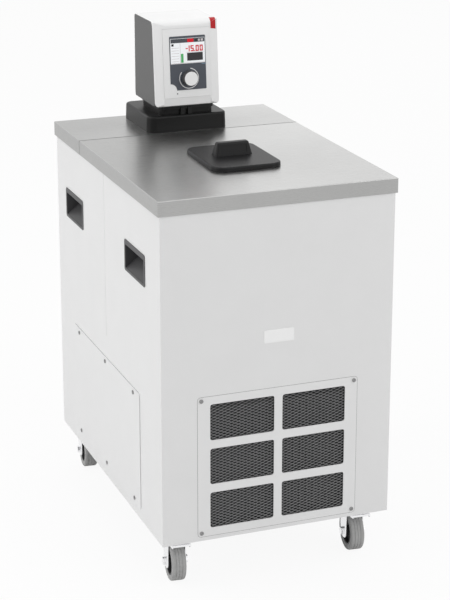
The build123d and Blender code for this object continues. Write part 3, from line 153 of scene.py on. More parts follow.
# painted shade: near-black strip for the shade inside the deck gap
GAP_SHADE = Finish("deck_gap_shade", FinishKind.PAINT, (0.03, 0.03, 0.03), 0.8, 0.9, 0.004, 0.04, specular=0.1)
HUB = Finish("hub_grey", FinishKind.MOULDED, (0.035, 0.035, 0.036), 0.5, 0.8, 0.01, 0.10, edge=0.2)
TYRE = Finish(
    "tyre_grey", FinishKind.RUBBER, (0.38, 0.38, 0.376),
    0.7, 0.9, 0.03, 0.14, 16.0, edge=0.3, specular=0.25,
)
SCREEN_WHITE = Finish("screen_white", FinishKind.SCREEN, (0.84, 0.86, 0.88), 0.2, 0.35, 0.0, 0.02, 12.0)
SCREEN_BAR = Finish("screen_bar", FinishKind.SCREEN, (0.045, 0.05, 0.06), 0.2, 0.35, 0.0, 0.05, 12.0)
SCREEN_RED = Finish(
    "screen_red", FinishKind.SCREEN, (0.60, 0.008, 0.02), 0.3, 0.35, 0.0, 0.04, 8.0, specular=0.2,
)
SCREEN_BLACK = Finish("screen_black", FinishKind.SCREEN, (0.01, 0.01, 0.012), 0.2, 0.35, 0.0, 0.05, 8.0)
SCREEN_GREEN = Finish("screen_green", FinishKind.SCREEN, (0.05, 0.36, 0.10), 0.2, 0.35, 0.0, 0.05, 8.0)
SCREEN_LINE = Finish("screen_line", FinishKind.SCREEN, (0.50, 0.46, 0.47), 0.2, 0.35, 0.0, 0.05, 8.0)
SCREEN_BLUE = Finish("screen_blue", FinishKind.SCREEN, (0.30, 0.50, 0.66), 0.2, 0.35, 0.0, 0.05, 8.0)

NODE_FINISHES: dict[str, tuple[Finish, str]] = {
    "base_tray": (TRAY, "base_steel"),
    "panel_screws": (SCREW, "screw_zinc"),
    "grille_frame": (GRILLE, "grille_paint"),
    "badge_plate": (BADGE, "badge"),
    "top_bridge": (DECK, "deck_steel"),
    "bath_cover": (DECK, "deck_steel"),
    "access_lid": (LID, "lid_black"),
    "bath_tank": (TANK, "tank_steel"),
    "tank_insulation": (FOAM, "foam"),
    "head_base": (BLACK, "head_black"),
    "head_collar": (BLACK, "head_black"),
    "head_shell": (WHITE, "head_white"),
    "head_side_left": (SIDE, "head_grey"),
    "head_side_right": (SIDE, "head_grey"),
    "head_fascia": (WHITE, "head_white"),
    "control_panel": (SLATE, "panel_slate"),
    "display_window": (SCREEN_WHITE, "display"),
    "accent_tab": (ACCENT, "accent_red"),
    "knob": (KNOB, "knob_grey"),
    "knob_cap": (KNOB_CAP, "knob_white"),
    "pump_motor": (ENAMEL, "motor_paint"),
    "condenser": (FINS_SHADE, "fin_aluminium"),
    "fan_shroud": (ENAMEL, "motor_paint"),
    "fan_rotor": (INLET, "fan_plastic"),
    "compressor": (ENAMEL, "motor_paint"),
    "refrigerant_lines": (COPPER, "pipe_copper"),
    "mains_inlet": (INLET, "inlet_black"),
    "drain_valve": (BRASS, "valve_brass"),
    "drain_handle": (ACCENT, "accent_red"),
    "caster_plates": (ZINC, "fork_zinc"),
}
PREFIX_FINISHES: tuple[tuple[str, Finish, str], ...] = (
    ("handle_cup", CUP, "cup_plastic"),
    ("caster_fork", ZINC, "fork_zinc"),
    ("caster_hub", HUB, "hub_plastic"),
    ("caster_tyre", TYRE, "tyre_grey"),
    ("front_panel", PAINT, "cabinet_paint"),
    ("rear_panel", PAINT, "cabinet_paint"),
    ("left_", PAINT, "cabinet_paint"),
    ("right_", PAINT, "cabinet_paint"),
)
OTHER_FINISH = (BATH, "bath_steel")


class ShaderGroups:
    """The node groups that several finishes share, each built once."""

    def __init__(self) -> None:
        """Builds every group."""
        self.grain = self._grain()
        self.brush = self._brush()
        self.edge = self._painted_edge_highlight()

    @staticmethod
    def _new(name: str, inputs: tuple[str, ...], outputs: tuple[str, ...]) -> bpy.types.NodeTree:
        """Makes an empty group.

        Args:
            name: the group's name.
            inputs: names of its float inputs.
            outputs: names of its float outputs.

        Returns:
            The group with its input and output nodes in place.
        """
        tree = bpy.data.node_groups.new(name, "ShaderNodeTree")
        for label in inputs:
            tree.interface.new_socket(label, in_out="INPUT", socket_type="NodeSocketFloat")
        for label in outputs:
            tree.interface.new_socket(label, in_out="OUTPUT", socket_type="NodeSocketFloat")
        tree.nodes.new("NodeGroupInput").name = "in"
        tree.nodes.new("NodeGroupOutput").name = "out"
        return tree

    @staticmethod
    def _math(tree: bpy.types.NodeTree, operation: str, first: object, second: object) -> object:
        """Adds a math node fed by sockets or plain numbers.

        Args:
            tree: the tree it goes in.
            operation: the math operation's name.
            first: a socket or a number.
            second: a socket or a number.

        Returns:
            The node's output socket.
        """
        node = tree.nodes.new("ShaderNodeMath")
        node.operation = operation
        for socket, value in zip(node.inputs, (first, second)):
            if isinstance(value, (int, float)):
                socket.default_value = value
            else:
                tree.links.new(value, socket)
        return node.outputs[0]

    def _grain(self) -> bpy.types.NodeTree:
        """Fine grain and slow colour drift over a surface, as two values round zero.

        Returns:
            The group, with inputs Grain Scale and Drift Scale and outputs Grain and Drift.
        """
        tree = self._new("grain_and_drift", ("Grain Scale", "Drift Scale"), ("Grain", "Drift"))
        start, end = tree.nodes["in"], tree.nodes["out"]
        place = tree.nodes.new("ShaderNodeTexCoord").outputs["Object"]
        for label, detail in (("Grain", GRAIN_DETAIL), ("Drift", DRIFT_DETAIL)):
            noise = tree.nodes.new("ShaderNodeTexNoise")
            noise.inputs["Detail"].default_value = detail
            tree.links.new(place, noise.inputs["Vector"])
            tree.links.new(start.outputs[label + " Scale"], noise.inputs["Scale"])
            tree.links.new(self._math(tree, "SUBTRACT", noise.outputs["Fac"], 0.5), end.inputs[label])
        return tree

    def _brush(self) -> bpy.types.NodeTree:
        """Long fine lines along X, as a value round zero.

        Returns:
            The group, with the input Line Scale and the output Line.
        """
        tree = self._new("brush_lines", ("Line Scale",), ("Line",))
        place = tree.nodes.new("ShaderNodeTexCoord").outputs["Object"]
        stretch = tree.nodes.new("ShaderNodeMapping")
        stretch.inputs["Scale"].default_value = (BRUSH_STRETCH, 1.0, 1.0)
        tree.links.new(place, stretch.inputs["Vector"])
        noise = tree.nodes.new("ShaderNodeTexNoise")
        noise.inputs["Detail"].default_value = BRUSH_DETAIL
        tree.links.new(stretch.outputs["Vector"], noise.inputs["Vector"])
        tree.links.new(tree.nodes["in"].outputs["Line Scale"], noise.inputs["Scale"])
        line = self._math(tree, "SUBTRACT", noise.outputs["Fac"], 0.5)
        tree.links.new(line, tree.nodes["out"].inputs["Line"])
        return tree

    def _painted_edge_highlight(self) -> bpy.types.NodeTree:
        """A mask for a painted highlight: 1 on sharp outer edges and 0 on flats.

        Returns:
            The group, with the input Strength and the output Mask.
        """
        tree = self._new("edge_highlight_mask", ("Strength",), ("Mask",))
        sharp = tree.nodes.new("ShaderNodeNewGeometry").outputs["Pointiness"]
        rise = tree.nodes.new("ShaderNodeMapRange")
        rise.inputs["From Min"].default_value = EDGE_HIGHLIGHT_FROM
        rise.inputs["From Max"].default_value = EDGE_HIGHLIGHT_TO
        tree.links.new(sharp, rise.inputs["Value"])
        mask = self._math(tree, "MULTIPLY", rise.outputs["Result"], tree.nodes["in"].outputs["Strength"])
        tree.links.new(mask, tree.nodes["out"].inputs["Mask"])
        return tree


class Paintshop:
    """Makes each finish's material once and hands it out again."""

    def __init__(self) -> None:
        """Builds the shared groups."""
        self.groups = ShaderGroups()
        self.made: dict[str, bpy.types.Material] = {}

    def material(self, finish: Finish) -> bpy.types.Material:
        """The material of a finish.

        Args:
            finish: the finish wanted.

        Returns:
            Its material, built at the first call.
        """
        if finish.name not in self.made:
            self.made[finish.name] = self._build(finish)
        return self.made[finish.name]

    def _group(
        self, tree: bpy.types.NodeTree, group: bpy.types.NodeTree, **values: float
    ) -> bpy.types.Node:
        """Places a shared group in a material.

        Args:
            tree: the material's tree.
            group: the group to place.
            values: its input values, with _ for a space in a name.

        Returns:
            The group node.
        """
        node = tree.nodes.new("ShaderNodeGroup")
        node.node_tree = group
        for label, value in values.items():
            node.inputs[label.replace("_", " ")].default_value = value
        return node

    def _build(self, finish: Finish) -> bpy.types.Material:
        """Builds a finish's nodes.

        Args:
            finish: the finish to build.

        Returns:
            The new material.
        """
        material = bpy.data.materials.new(finish.name)
        material.use_nodes = True
        tree = material.node_tree
        shader = tree.nodes["Principled BSDF"]
        metal = finish.kind in (FinishKind.BRUSHED, FinishKind.BARE_METAL)
        shader.inputs["Metallic"].default_value = 1.0 if metal else 0.0
        shader.inputs["Coat Weight"].default_value = finish.coat
        shader.inputs["Specular IOR Level"].default_value = finish.specular
        if finish.kind is FinishKind.SCREEN:
            shader.inputs["Emission Strength"].default_value = SCREEN_GLOW
        if finish.kind is FinishKind.BRUSHED:
            shader.inputs["Anisotropic"].default_value = BRUSHED_ANISOTROPY
        grain = self._group(
            tree, self.groups.grain,
            Grain_Scale=1 / (finish.grain_size_mm * MM), Drift_Scale=1 / (finish.drift_size_mm * MM),
        )
        height = grain.outputs["Grain"]
        if finish.kind is FinishKind.BRUSHED:
            brush = self._group(tree, self.groups.brush, Line_Scale=1 / (finish.grain_size_mm * MM))
            height = brush.outputs["Line"]
        self._colour(tree, finish, grain.outputs["Drift"], height)
        spread = METAL_ROUGHNESS_SPREAD if metal else COATED_ROUGHNESS_SPREAD
        rough = self._scaled(tree, height, spread, finish.roughness)
        tree.links.new(rough, shader.inputs["Roughness"])
        if finish.grain_depth_mm > 0:
            bump = tree.nodes.new("ShaderNodeBump")
            bump.inputs["Strength"].default_value = 1.0
            bump.inputs["Distance"].default_value = finish.grain_depth_mm * MM
            tree.links.new(height, bump.inputs["Height"])
            tree.links.new(bump.outputs["Normal"], shader.inputs["Normal"])
        material.diffuse_color = (*finish.color, 1.0)
        return material

    def _scaled(self, tree: bpy.types.NodeTree, value: object, gain: float, level: float) -> object:
        """A value scaled and lifted.

        Args:
            tree: the material's tree.
            value: the socket to scale.
            gain: what it is multiplied by.
            level: what is then added.

        Returns:
            The socket of the result.
        """
        node = tree.nodes.new("ShaderNodeMath")
        node.operation = "MULTIPLY_ADD"
        node.inputs[1].default_value = gain
        node.inputs[2].default_value = level
        tree.links.new(value, node.inputs[0])
        return node.outputs[0]

    def _colour(
        self, tree: bpy.types.NodeTree, finish: Finish, drift: object, height: object
    ) -> None:
        """Feeds the base colour: the finish's own, drifting a little, with a painted highlight that
        lightens sharp edges.

        Args:
            tree: the material's tree.
            finish: the finish.
            drift: the socket with the slow drift.
            height: the socket with the grain or brush lines.
        """
        shader = tree.nodes["Principled BSDF"]
        both = tree.nodes.new("ShaderNodeMath")
        both.operation = "ADD"
        tree.links.new(self._scaled(tree, drift, finish.drift * 2, 1.0), both.inputs[0])
        tree.links.new(self._scaled(tree, height, finish.drift, 0.0), both.inputs[1])
        tint = tree.nodes.new("ShaderNodeVectorMath")
        tint.operation = "SCALE"
        tint.inputs[0].default_value = finish.color
        tree.links.new(both.outputs[0], tint.inputs["Scale"])
        color = tint.outputs["Vector"]
        # painted highlight: sharp outer edges are lightened in the base colour
        if finish.edge > 0:
            highlight = self._group(tree, self.groups.edge, Strength=finish.edge)
            mix = tree.nodes.new("ShaderNodeMix")
            mix.data_type = "RGBA"
            highlighted = [min(1.0, channel * EDGE_HIGHLIGHT_GAIN + EDGE_HIGHLIGHT_LIFT) for channel in finish.color]
            mix.inputs["B"].default_value = (*highlighted, 1.0)
            tree.links.new(highlight.outputs["Mask"], mix.inputs["Factor"])
            tree.links.new(color, mix.inputs["A"])
            color = mix.outputs["Result"]
        tree.links.new(color, shader.inputs["Base Color"])
        if finish.kind is FinishKind.SCREEN:
            tree.links.new(color, shader.inputs["Emission Color"])


@dataclass
class Maker:
    """Turns meshes into pieces of the part, dressed and riding their body."""

    shop: Paintshop

    def piece(
        self, name: str, mesh: bmesh.types.BMesh, finish: Finish, slot: str, body: str
    ) -> bpy.types.Object:
        """Makes one piece.

        Args:
            name: the piece's name.
            mesh: its mesh, in metres in the part's frame; it is freed here.
            finish: what it is finished in.
            slot: the record's material slot; not used.
            body: the body it moves with.

        Returns:
            The new object.
        """
        bmesh.ops.recalc_face_normals(mesh, faces=mesh.faces)
        data = bpy.data.meshes.new(name)
        mesh.to_mesh(data)
        mesh.free()
        data.materials.append(self.shop.material(finish))
        thing = bpy.data.objects.new(name, data)
        bpy.context.scene.collection.objects.link(thing)
        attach(thing, body)
        log.info("%s: %d faces", name, len(data.polygons))
        return thing


@dataclass
class Cabinet:
    """Every node of the frame that is shown as it is, with its finish."""

    maker: Maker

    def finish_of(self, node: str) -> tuple[Finish, str]:
        """The finish and material slot of a node.

        Args:
            node: the node's name.

        Returns:
            Its finish and slot.
        """
        if node in NODE_FINISHES:
            return NODE_FINISHES[node]
        for prefix, finish, slot in PREFIX_FINISHES:
            if node.startswith(prefix):
                return finish, slot
        return OTHER_FINISH

    def dress(self) -> None:
        """Gives every node its material."""
        for node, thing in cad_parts.items():
            finish, slot = self.finish_of(node)
            thing.data.materials.clear()
            thing.data.materials.append(self.maker.shop.material(finish))
            log.info("%s: %s", node, finish.name)


@dataclass
class GrilleMesh:
    """Expanded metal behind the grille's windows: flat strands round diamond openings."""

    maker: Maker
    pitch_x: float = 13.3
    pitch_z: float = 5.6
    strand: float = 0.72
    sheet: float = 1.0
    tilt: float = 0.95
    tuck: float = 1.0
    window: Pair = (122.5, 68.5)
    gap: Pair = (15.6, 16.0)
    columns: int = 2
    rows: int = 3

    def build(self) -> None:
        """Builds the mesh of all the windows as one piece."""
        low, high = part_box("grille_mesh")
        middle = (low + high) / 2
        mesh = bmesh.new()
        for row in range(self.rows):
            for column in range(self.columns):
                across = (column - (self.columns - 1) / 2) * (self.window[0] + self.gap[0])
                up = (row - (self.rows - 1) / 2) * (self.window[1] + self.gap[1])
                self._window(mesh, middle.x + across * MM, middle.z + up * MM, low.y)
        thing = self.maker.piece("expanded_mesh", mesh, STRAND, "mesh_steel", "cabinet")
        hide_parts("grille_mesh")

    def _window(self, mesh: bmesh.types.BMesh, x: float, z: float, front: float) -> None:
        """Fills one window with diamonds.

        Args:
            mesh: the mesh it goes in.
            x: the window's middle.
            z: the window's middle.
            front: the sheet's front face, as a Y.
        """
        across = math.ceil((self.window[0] / 2 + self.tuck) / self.pitch_x)
        up = math.ceil((self.window[1] / 2 + self.tuck) / self.pitch_z)
        for half_x in range(-2 * across, 2 * across + 1):
            for half_z in range(-2 * up, 2 * up + 1):
                if (half_x + half_z) % 2 == 0:
                    centre_x = half_x * self.pitch_x / 2
                    centre_z = half_z * self.pitch_z / 2
                    inside_x = abs(centre_x) <= self.window[0] / 2 + self.tuck
                    if inside_x and abs(centre_z) <= self.window[1] / 2 + self.tuck:
                        self._diamond(mesh, x + centre_x * MM, z + centre_z * MM, front)

    def _diamond(self, mesh: bmesh.types.BMesh, x: float, z: float, front: float) -> None:
        """One diamond: strands tilted like louvres round an opening.

        Args:
            mesh: the mesh it goes in.
            x: its middle.
            z: its middle.
            front: the sheet's front face, as a Y.
        """
        half = Vector((self.pitch_x / 2, self.pitch_z / 2)) * MM
        across_flats = self.pitch_x * self.pitch_z / math.hypot(self.pitch_x, self.pitch_z)
        reach = 1 - self.strand / across_flats
        corners = ((1, 0), (0, 1), (-1, 0), (0, -1))
        rings = []
        for share, back in ((1.0, 0.0), (reach, 0.0), (reach, self.sheet)):
            ring = []
            for across, up in corners:
                twist = (1 - up) / 2 if share < 1 else 1 / 2
                depth = back + self.tilt * twist
                place = (x + across * half.x * share, front + depth * MM, z + up * half.y * share)
                ring.append(mesh.verts.new(place))
            rings.append(ring)
        for outer, inner in zip(rings, rings[1:]):
            band(mesh, outer, inner)


def band(
    mesh: bmesh.types.BMesh, outer: list[bmesh.types.BMVert], inner: list[bmesh.types.BMVert]
) -> None:
    """Joins two closed rings of points with a band of faces.

    Args:
        mesh: the mesh it goes in.
        outer: one ring.
        inner: the other ring, with as many points.
    """
    count = len(outer)
    for i in range(count):
        j = (i + 1) % count
        mesh.faces.new((outer[i], outer[j], inner[j], inner[i]))


@dataclass
class FacePlane:
    """The leaning front of the control head: places on it are given in mm across and up the slope."""

    face_setback: float = 13.8
    face_height: float = 167.0
    display_low: float = 83.4
    display_left: float = -33.3

    def __post_init__(self) -> None:
        """Finds the plane from the display window's lower front edge."""
        low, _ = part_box("display_window")
        lean = math.atan2(self.face_setback, self.face_height)
        self.up = Vector((0, math.sin(lean), math.cos(lean)))
        self.out = Vector((0, -math.cos(lean), math.sin(lean)))
        corner = Vector((low.x - self.display_left * MM, low.y, low.z))
        self.zero = corner - self.up * self.display_low * MM

    def at(self, x: float, height: float, lift: float) -> Vector:
        """A point on the front.

        Args:
            x: mm across.
            height: mm up the slope.
            lift: mm proud of the display window.

        Returns:
            The point in the part's frame.
        """
        return self.zero + Vector((x * MM, 0, 0)) + self.up * height * MM + self.out * lift * MM

    def plate(self, mesh: bmesh.types.BMesh, points: list[Pair], low: float, high: float) -> None:
        """Adds a thin closed plate with a given outline.

        Args:
            mesh: the mesh it goes in.
            points: its outline, across and up the slope.
            low: how proud its back is.
            high: how proud its face is.
        """
        back = [mesh.verts.new(self.at(x, h, low)) for x, h in points]
        face = [mesh.verts.new(self.at(x, h, high)) for x, h in points]
        mesh.faces.new(face)
        mesh.faces.new(list(reversed(back)))
        band(mesh, back, face)


def rounded(x0: float, x1: float, h0: float, h1: float, radius: float) -> list[Pair]:
    """Outline of a rectangle with rounded corners.

    Args:
        x0: left side.
        x1: right side.
        h0: lower side.
        h1: upper side.
        radius: corner radius.

    Returns:
        The outline's points.
    """
    steps = 4
    left, right, low, high = x0 + radius, x1 - radius, h0 + radius, h1 - radius
    centres = ((right, high), (left, high), (left, low), (right, low))
    points = []
    for corner, (x, h) in enumerate(centres):
        for step in range(steps + 1):
            angle = math.radians(90 * (corner + step / steps))
            points.append((x + radius * math.cos(angle), h + radius * math.sin(angle)))
    return points


@dataclass(frozen=True)
class Field:
    """A rectangle on the head's front, in mm across and up the slope."""

    left: float
    right: float
    low: float
    high: float


@dataclass
class Display:
    """What the lit screen shows: fields, bars and the bath temperature."""

    maker: Maker
    face: FacePlane
    lift: float = 0.12
    corner: float = 0.5
    top_bar: Field = Field(-32.5, 36.9, 124.0, 132.0)
    red_field: Field = Field(1.5, 14.5, 124.6, 131.2)
    trend_field: Field = Field(0.6, 32.8, 88.5, 103.9)
    menu_field: Field = Field(17.0, 22.0, 124.8, 131.0)
    stop_mark: Field = Field(-31.0, -26.5, 118.0, 122.4)
    level_bar: Field = Field(-12.0, -7.1, 85.5, 102.7)
    text_line: Field = Field(-31.0, -16.0, 88.0, 88.7)
    text_pitch: float = 5.2
    text_rows: int = 6
    left_mark: Field = Field(24.0, 27.5, 125.6, 130.0)
    right_mark: Field = Field(29.5, 34.0, 125.6, 130.0)
    column_line: Field = Field(-13.6, -13.0, 84.6, 123.4)
    number_line: Field = Field(-1.0, 35.0, 104.8, 105.3)
    foot_line: Field = Field(-32.5, 36.9, 84.0, 84.9)
    blue_line: Field = Field(30.0, 38.0, 81.2, 81.8)
    digits: str = "-15.00"
    digit_left: float = -2.0
    digit_low: float = 106.4
    digit_size: Pair = (6.4, 11.7)
    digit_gap: float = 1.9
    digit_joint: float = 0.1
    stroke: float = 2.1
    dash: float = 4.2

    def _bars(self, name: str, finish: Finish, bars: list[Field], step: int) -> None:
        """Makes a group of flat fields in one colour.

        Args:
            name: the piece's name.
            finish: their colour.
            bars: the fields.
            step: which layer they lie in.
        """
        mesh = bmesh.new()
        for bar in bars:
            radius = min(self.corner, (bar.right - bar.left) / 3, (bar.high - bar.low) / 3)
            outline = rounded(bar.left, bar.right, bar.low, bar.high, radius)
            self.face.plate(mesh, outline, 0.0, self.lift * step)
        self.maker.piece(name, mesh, finish, "display", "cabinet")

    def build(self) -> None:
        """Builds every field of the screen."""
        self._bars("screen_top_bar", SCREEN_BAR, [self.top_bar], 1)
        self._bars("screen_red_field", SCREEN_RED, [self.red_field], 2)
        dark = [self.trend_field, self.menu_field, self.stop_mark]
        self._bars("screen_dark_fields", SCREEN_BLACK, dark, 2)
        self._bars("screen_green_field", SCREEN_GREEN, [self.level_bar], 2)
        self._bars("screen_lines", SCREEN_LINE, self._lines(), 2)
        self._bars("panel_blue_line", SCREEN_BLUE, [self.blue_line], 1)
        self._number()

    def _lines(self) -> list[Field]:
        """The pale lines and marks of the screen.

        Returns:
            The text lines from the lowest up, the two marks, then the dividing lines.
        """
        text = self.text_line
        shifts = [self.text_pitch * row for row in range(self.text_rows)]
        rows = [Field(text.left, text.right, text.low + up, text.high + up) for up in shifts]
        dividers = [self.column_line, self.number_line, self.foot_line]
        return rows + [self.left_mark, self.right_mark] + dividers

    def _number(self) -> None:
        """Builds the number from seven-segment strokes."""
        segments = {"-": "g", "1": "bc", "5": "afgcd", "0": "abcdef"}
        widths = {"-": self.dash, "1": self.stroke}
        bars = []
        x = self.digit_left
        for digit in self.digits:
            if digit == ".":
                dot_left = x - self.digit_gap / 2
                top = self.digit_low + self.stroke
                bars.append(Field(dot_left, dot_left + self.stroke, self.digit_low, top))
                x = dot_left + self.stroke + self.digit_gap / 2
                continue
            width = widths.get(digit, self.digit_size[0])
            places = self._strokes(x, width)
            bars.extend(places[segment] for segment in segments[digit])
            x += width + self.digit_gap
        self._bars("screen_number", SCREEN_RED, bars, 2)

    def _strokes(self, left: float, width: float) -> dict[str, Field]:
        """Where each of the seven strokes of a digit lies.

        Args:
            left: the digit's left side.
            width: its width.

        Returns:
            The strokes, lettered from the top round to the middle.
        """
        right, low = left + width, self.digit_low
        high, middle = low + self.digit_size[1], low + self.digit_size[1] / 2
        above, below = middle + self.digit_joint, middle - self.digit_joint
        stroke, half = self.stroke, self.stroke / 2
        return {
            "a": Field(left, right, high - stroke, high),
            "b": Field(right - stroke, right, above, high),
            "c": Field(right - stroke, right, low, below),
            "d": Field(left, right, low, low + stroke),
            "e": Field(left, left + stroke, low, below),
            "f": Field(left, left + stroke, above, high),
            "g": Field(left, right, middle - half, middle + half),
        }


@dataclass
class KnobRing:
    """The pale ring printed round the knob and the small lamp under the control panel."""

    maker: Maker
    face: FacePlane
    centre: Pair = (3.1, 54.4)
    radius: float = 19.5
    width: float = 1.3
    start: float = -220.0
    sweep: float = 300.0
    steps: int = 48
    ring_sunk: float = -0.6
    ring_proud: float = 0.1
    lamp: Pair = (-21.6, 25.5)
    lamp_radius: float = 1.3
    lamp_steps: int = 16
    lamp_sunk: float = -1.2

    def build(self) -> None:
        """Builds the ring and the lamp."""
        mesh = bmesh.new()
        degrees = [self.start + self.sweep * i / self.steps for i in range(self.steps + 1)]
        angles = [math.radians(degree) for degree in degrees]
        outer = [self._on_circle(self.centre, a, self.radius + self.width / 2) for a in angles]
        inner = [self._on_circle(self.centre, a, self.radius - self.width / 2) for a in angles]
        self.face.plate(mesh, outer + inner[::-1], self.ring_sunk, self.ring_proud)
        self.maker.piece("knob_ring", mesh, KNOB_CAP, "knob_white", "cabinet")
        mesh = bmesh.new()
        turns = [math.tau * i / self.lamp_steps for i in range(self.lamp_steps)]
        dot = [self._on_circle(self.lamp, a, self.lamp_radius) for a in turns]
        self.face.plate(mesh, dot, self.lamp_sunk, 0.0)
        self.maker.piece("status_lamp", mesh, KNOB, "knob_grey", "cabinet")

    @staticmethod
    def _on_circle(centre: Pair, angle: float, radius: float) -> Pair:
        """A point on a circle on the front.

        Args:
            centre: the circle's middle, across and up the slope.
            angle: radians from the right.
            radius: the circle's radius in mm.

        Returns:
            The point, across and up the slope.
        """
        return centre[0] + radius * math.cos(angle), centre[1] + radius * math.sin(angle)


@dataclass
class AccentWrap:
    """The red tab that drapes over the nose of the head at its upper right corner."""

    maker: Maker
    left: float = 51.0
    right: float = 62.5
    rear_y: float = 168.0
    low_z: float = 946.0
    bend: float = 35.0
    proud: float = 0.25
    columns: int = 8
    rows: int = 20
    reach: float = 60.0

    def build(self) -> None:
        """Lays the tab on the housing by casting rays at it."""
        view = bpy.context.evaluated_depsgraph_get()
        nodes = [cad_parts[name] for name in ("head_shell", "accent_tab")]
        shells = [BVHTree.FromObject(node, view) for node in nodes]
        low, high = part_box("head_shell")
        pivot_y, pivot_z = low.y + self.bend * MM, high.z - self.bend * MM
        first = math.atan2(high.z - pivot_z, self.rear_y * MM - pivot_y)
        last = math.atan2(self.low_z * MM - pivot_z, low.y - pivot_y)
        mesh = bmesh.new()
        grid = []
        for row in range(self.rows + 1):
            angle = first + (last - first) * row / self.rows
            ray = Vector((0, math.cos(angle), math.sin(angle)))
            line = []
            for column in range(self.columns + 1):
                x = (self.left + (self.right - self.left) * column / self.columns) * MM
                start = Vector((x, pivot_y, pivot_z)) + ray * self.reach * MM
                spot = self._landing(shells, start, -ray)
                line.append(None if spot is None else mesh.verts.new(spot))
            grid.append(line)
        for upper, lower in zip(grid, grid[1:]):
            for i in range(self.columns):
                corners = (upper[i], upper[i + 1], lower[i + 1], lower[i])
                if all(corners):
                    mesh.faces.new(corners)
        self.maker.piece("accent_wrap", mesh, ACCENT, "accent_red", "cabinet")

    def _landing(self, shells: list[BVHTree], start: Vector, ray: Vector) -> Vector | None:
        """Where a ray first lands, lifted a little off the surface.

        Args:
            shells: the surfaces it may land on.
            start: where it starts.
            ray: its direction.

        Returns:
            The lifted point, or nothing where it misses.
        """
        hits = [hit for hit in (shell.ray_cast(start, ray) for shell in shells) if hit[0] is not None]
        if not hits:
            return None
        spot, normal = min(hits, key=lambda hit: hit[3])[:2]
        return spot + normal * self.proud * MM


@dataclass
class GapShadeLines:
    """Thin dark lines of painted shade where one sheet ends on another, standing in for the shadow in the
    gaps.
    """

    maker: Maker
    width: float = 0.7
    lift: float = 0.06
    corner: float = 6.0
    overlap: float = 0.15

    def build(self) -> None:
        """Draws painted shade lines round the grille and the service panels, and painted shade across the
        deck gap.
        """
        # painted shade: a grey loop laid on the panels stands in for the shadow in the recess gaps
        mesh = bmesh.new()
        low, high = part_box("grille_frame")
        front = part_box("front_panel")[0].y - self.lift * MM
        self._loop(mesh, (low.x, high.x), (low.z, high.z), lambda a, b: Vector((a, front, b)))
        for name, side in (("left_service_panel", -1), ("right_service_panel", 1)):
            low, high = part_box(name)
            flank = (low.x if side > 0 else high.x) + side * self.lift * MM
            self._loop(
                mesh, (low.y, high.y), (low.z, high.z), lambda a, b, x=flank: Vector((x, a, b))
            )
        self.maker.piece("gap_shade_lines", mesh, SEAM_SHADE, "cabinet_paint", "cabinet")
        self._deck_gap()

    def _deck_gap(self) -> None:
        """Paints shade over the gap between the bath cover and the bridge with a near-black strip."""
        mesh = bmesh.new()
        low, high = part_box("bath_cover")
        front = high.y - self.overlap * MM
        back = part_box("top_bridge")[0].y + self.overlap * MM
        top = high.z + self.lift * MM
        left, right = low.x - self.lift * MM, high.x + self.lift * MM
        path = ((left, low.z), (left, top), (right, top), (right, low.z))
        rows = [[mesh.verts.new((x, y, z)) for x, z in path] for y in (front, back)]
        for i in range(len(path) - 1):
            mesh.faces.new((rows[0][i], rows[0][i + 1], rows[1][i + 1], rows[1][i]))
        self.maker.piece("deck_gap_shade", mesh, GAP_SHADE, "deck_steel", "cabinet")

    def _loop(
        self, mesh: bmesh.types.BMesh, across: Pair, up: Pair, at: Callable[[float, float], Vector]
    ) -> None:
        """Adds a flat rounded loop round a rectangle.

        Args:
            mesh: the mesh it goes in.
            across: the rectangle's two sides across, in metres.
            up: its two sides up.
            at: turns the two coordinates into a point.
        """
        wide, corner = self.width * MM, self.corner * MM
        inner = rounded(*across, *up, corner)
        outer = rounded(
            across[0] - wide, across[1] + wide, up[0] - wide, up[1] + wide, corner + wide
        )
        rings = [[mesh.verts.new(at(a, b)) for a, b in ring] for ring in (inner, outer)]
        band(mesh, rings[0], rings[1])


@dataclass(frozen=True)
class Lamp:
    """A soft area lamp: its place and side in metres, and its power in watts."""

    name: str
    place: Triple
    size: float
    power: float


LAMPS = (
    Lamp("left_softbox", (-3.3, 0.2, 2.6), 3.0, 53.0),
    Lamp("top_softbox", (0.2, 0.4, 4.2), 2.4, 16.0),
    Lamp("front_softbox", (2.6, -3.6, 3.0), 3.0, 56.0),
    Lamp("rear_softbox", (3.1, 4.4, 2.7), 3.0, 12.0),
    Lamp("far_left_softbox", (-1.9, 4.4, 2.0), 2.0, 6.0),
)


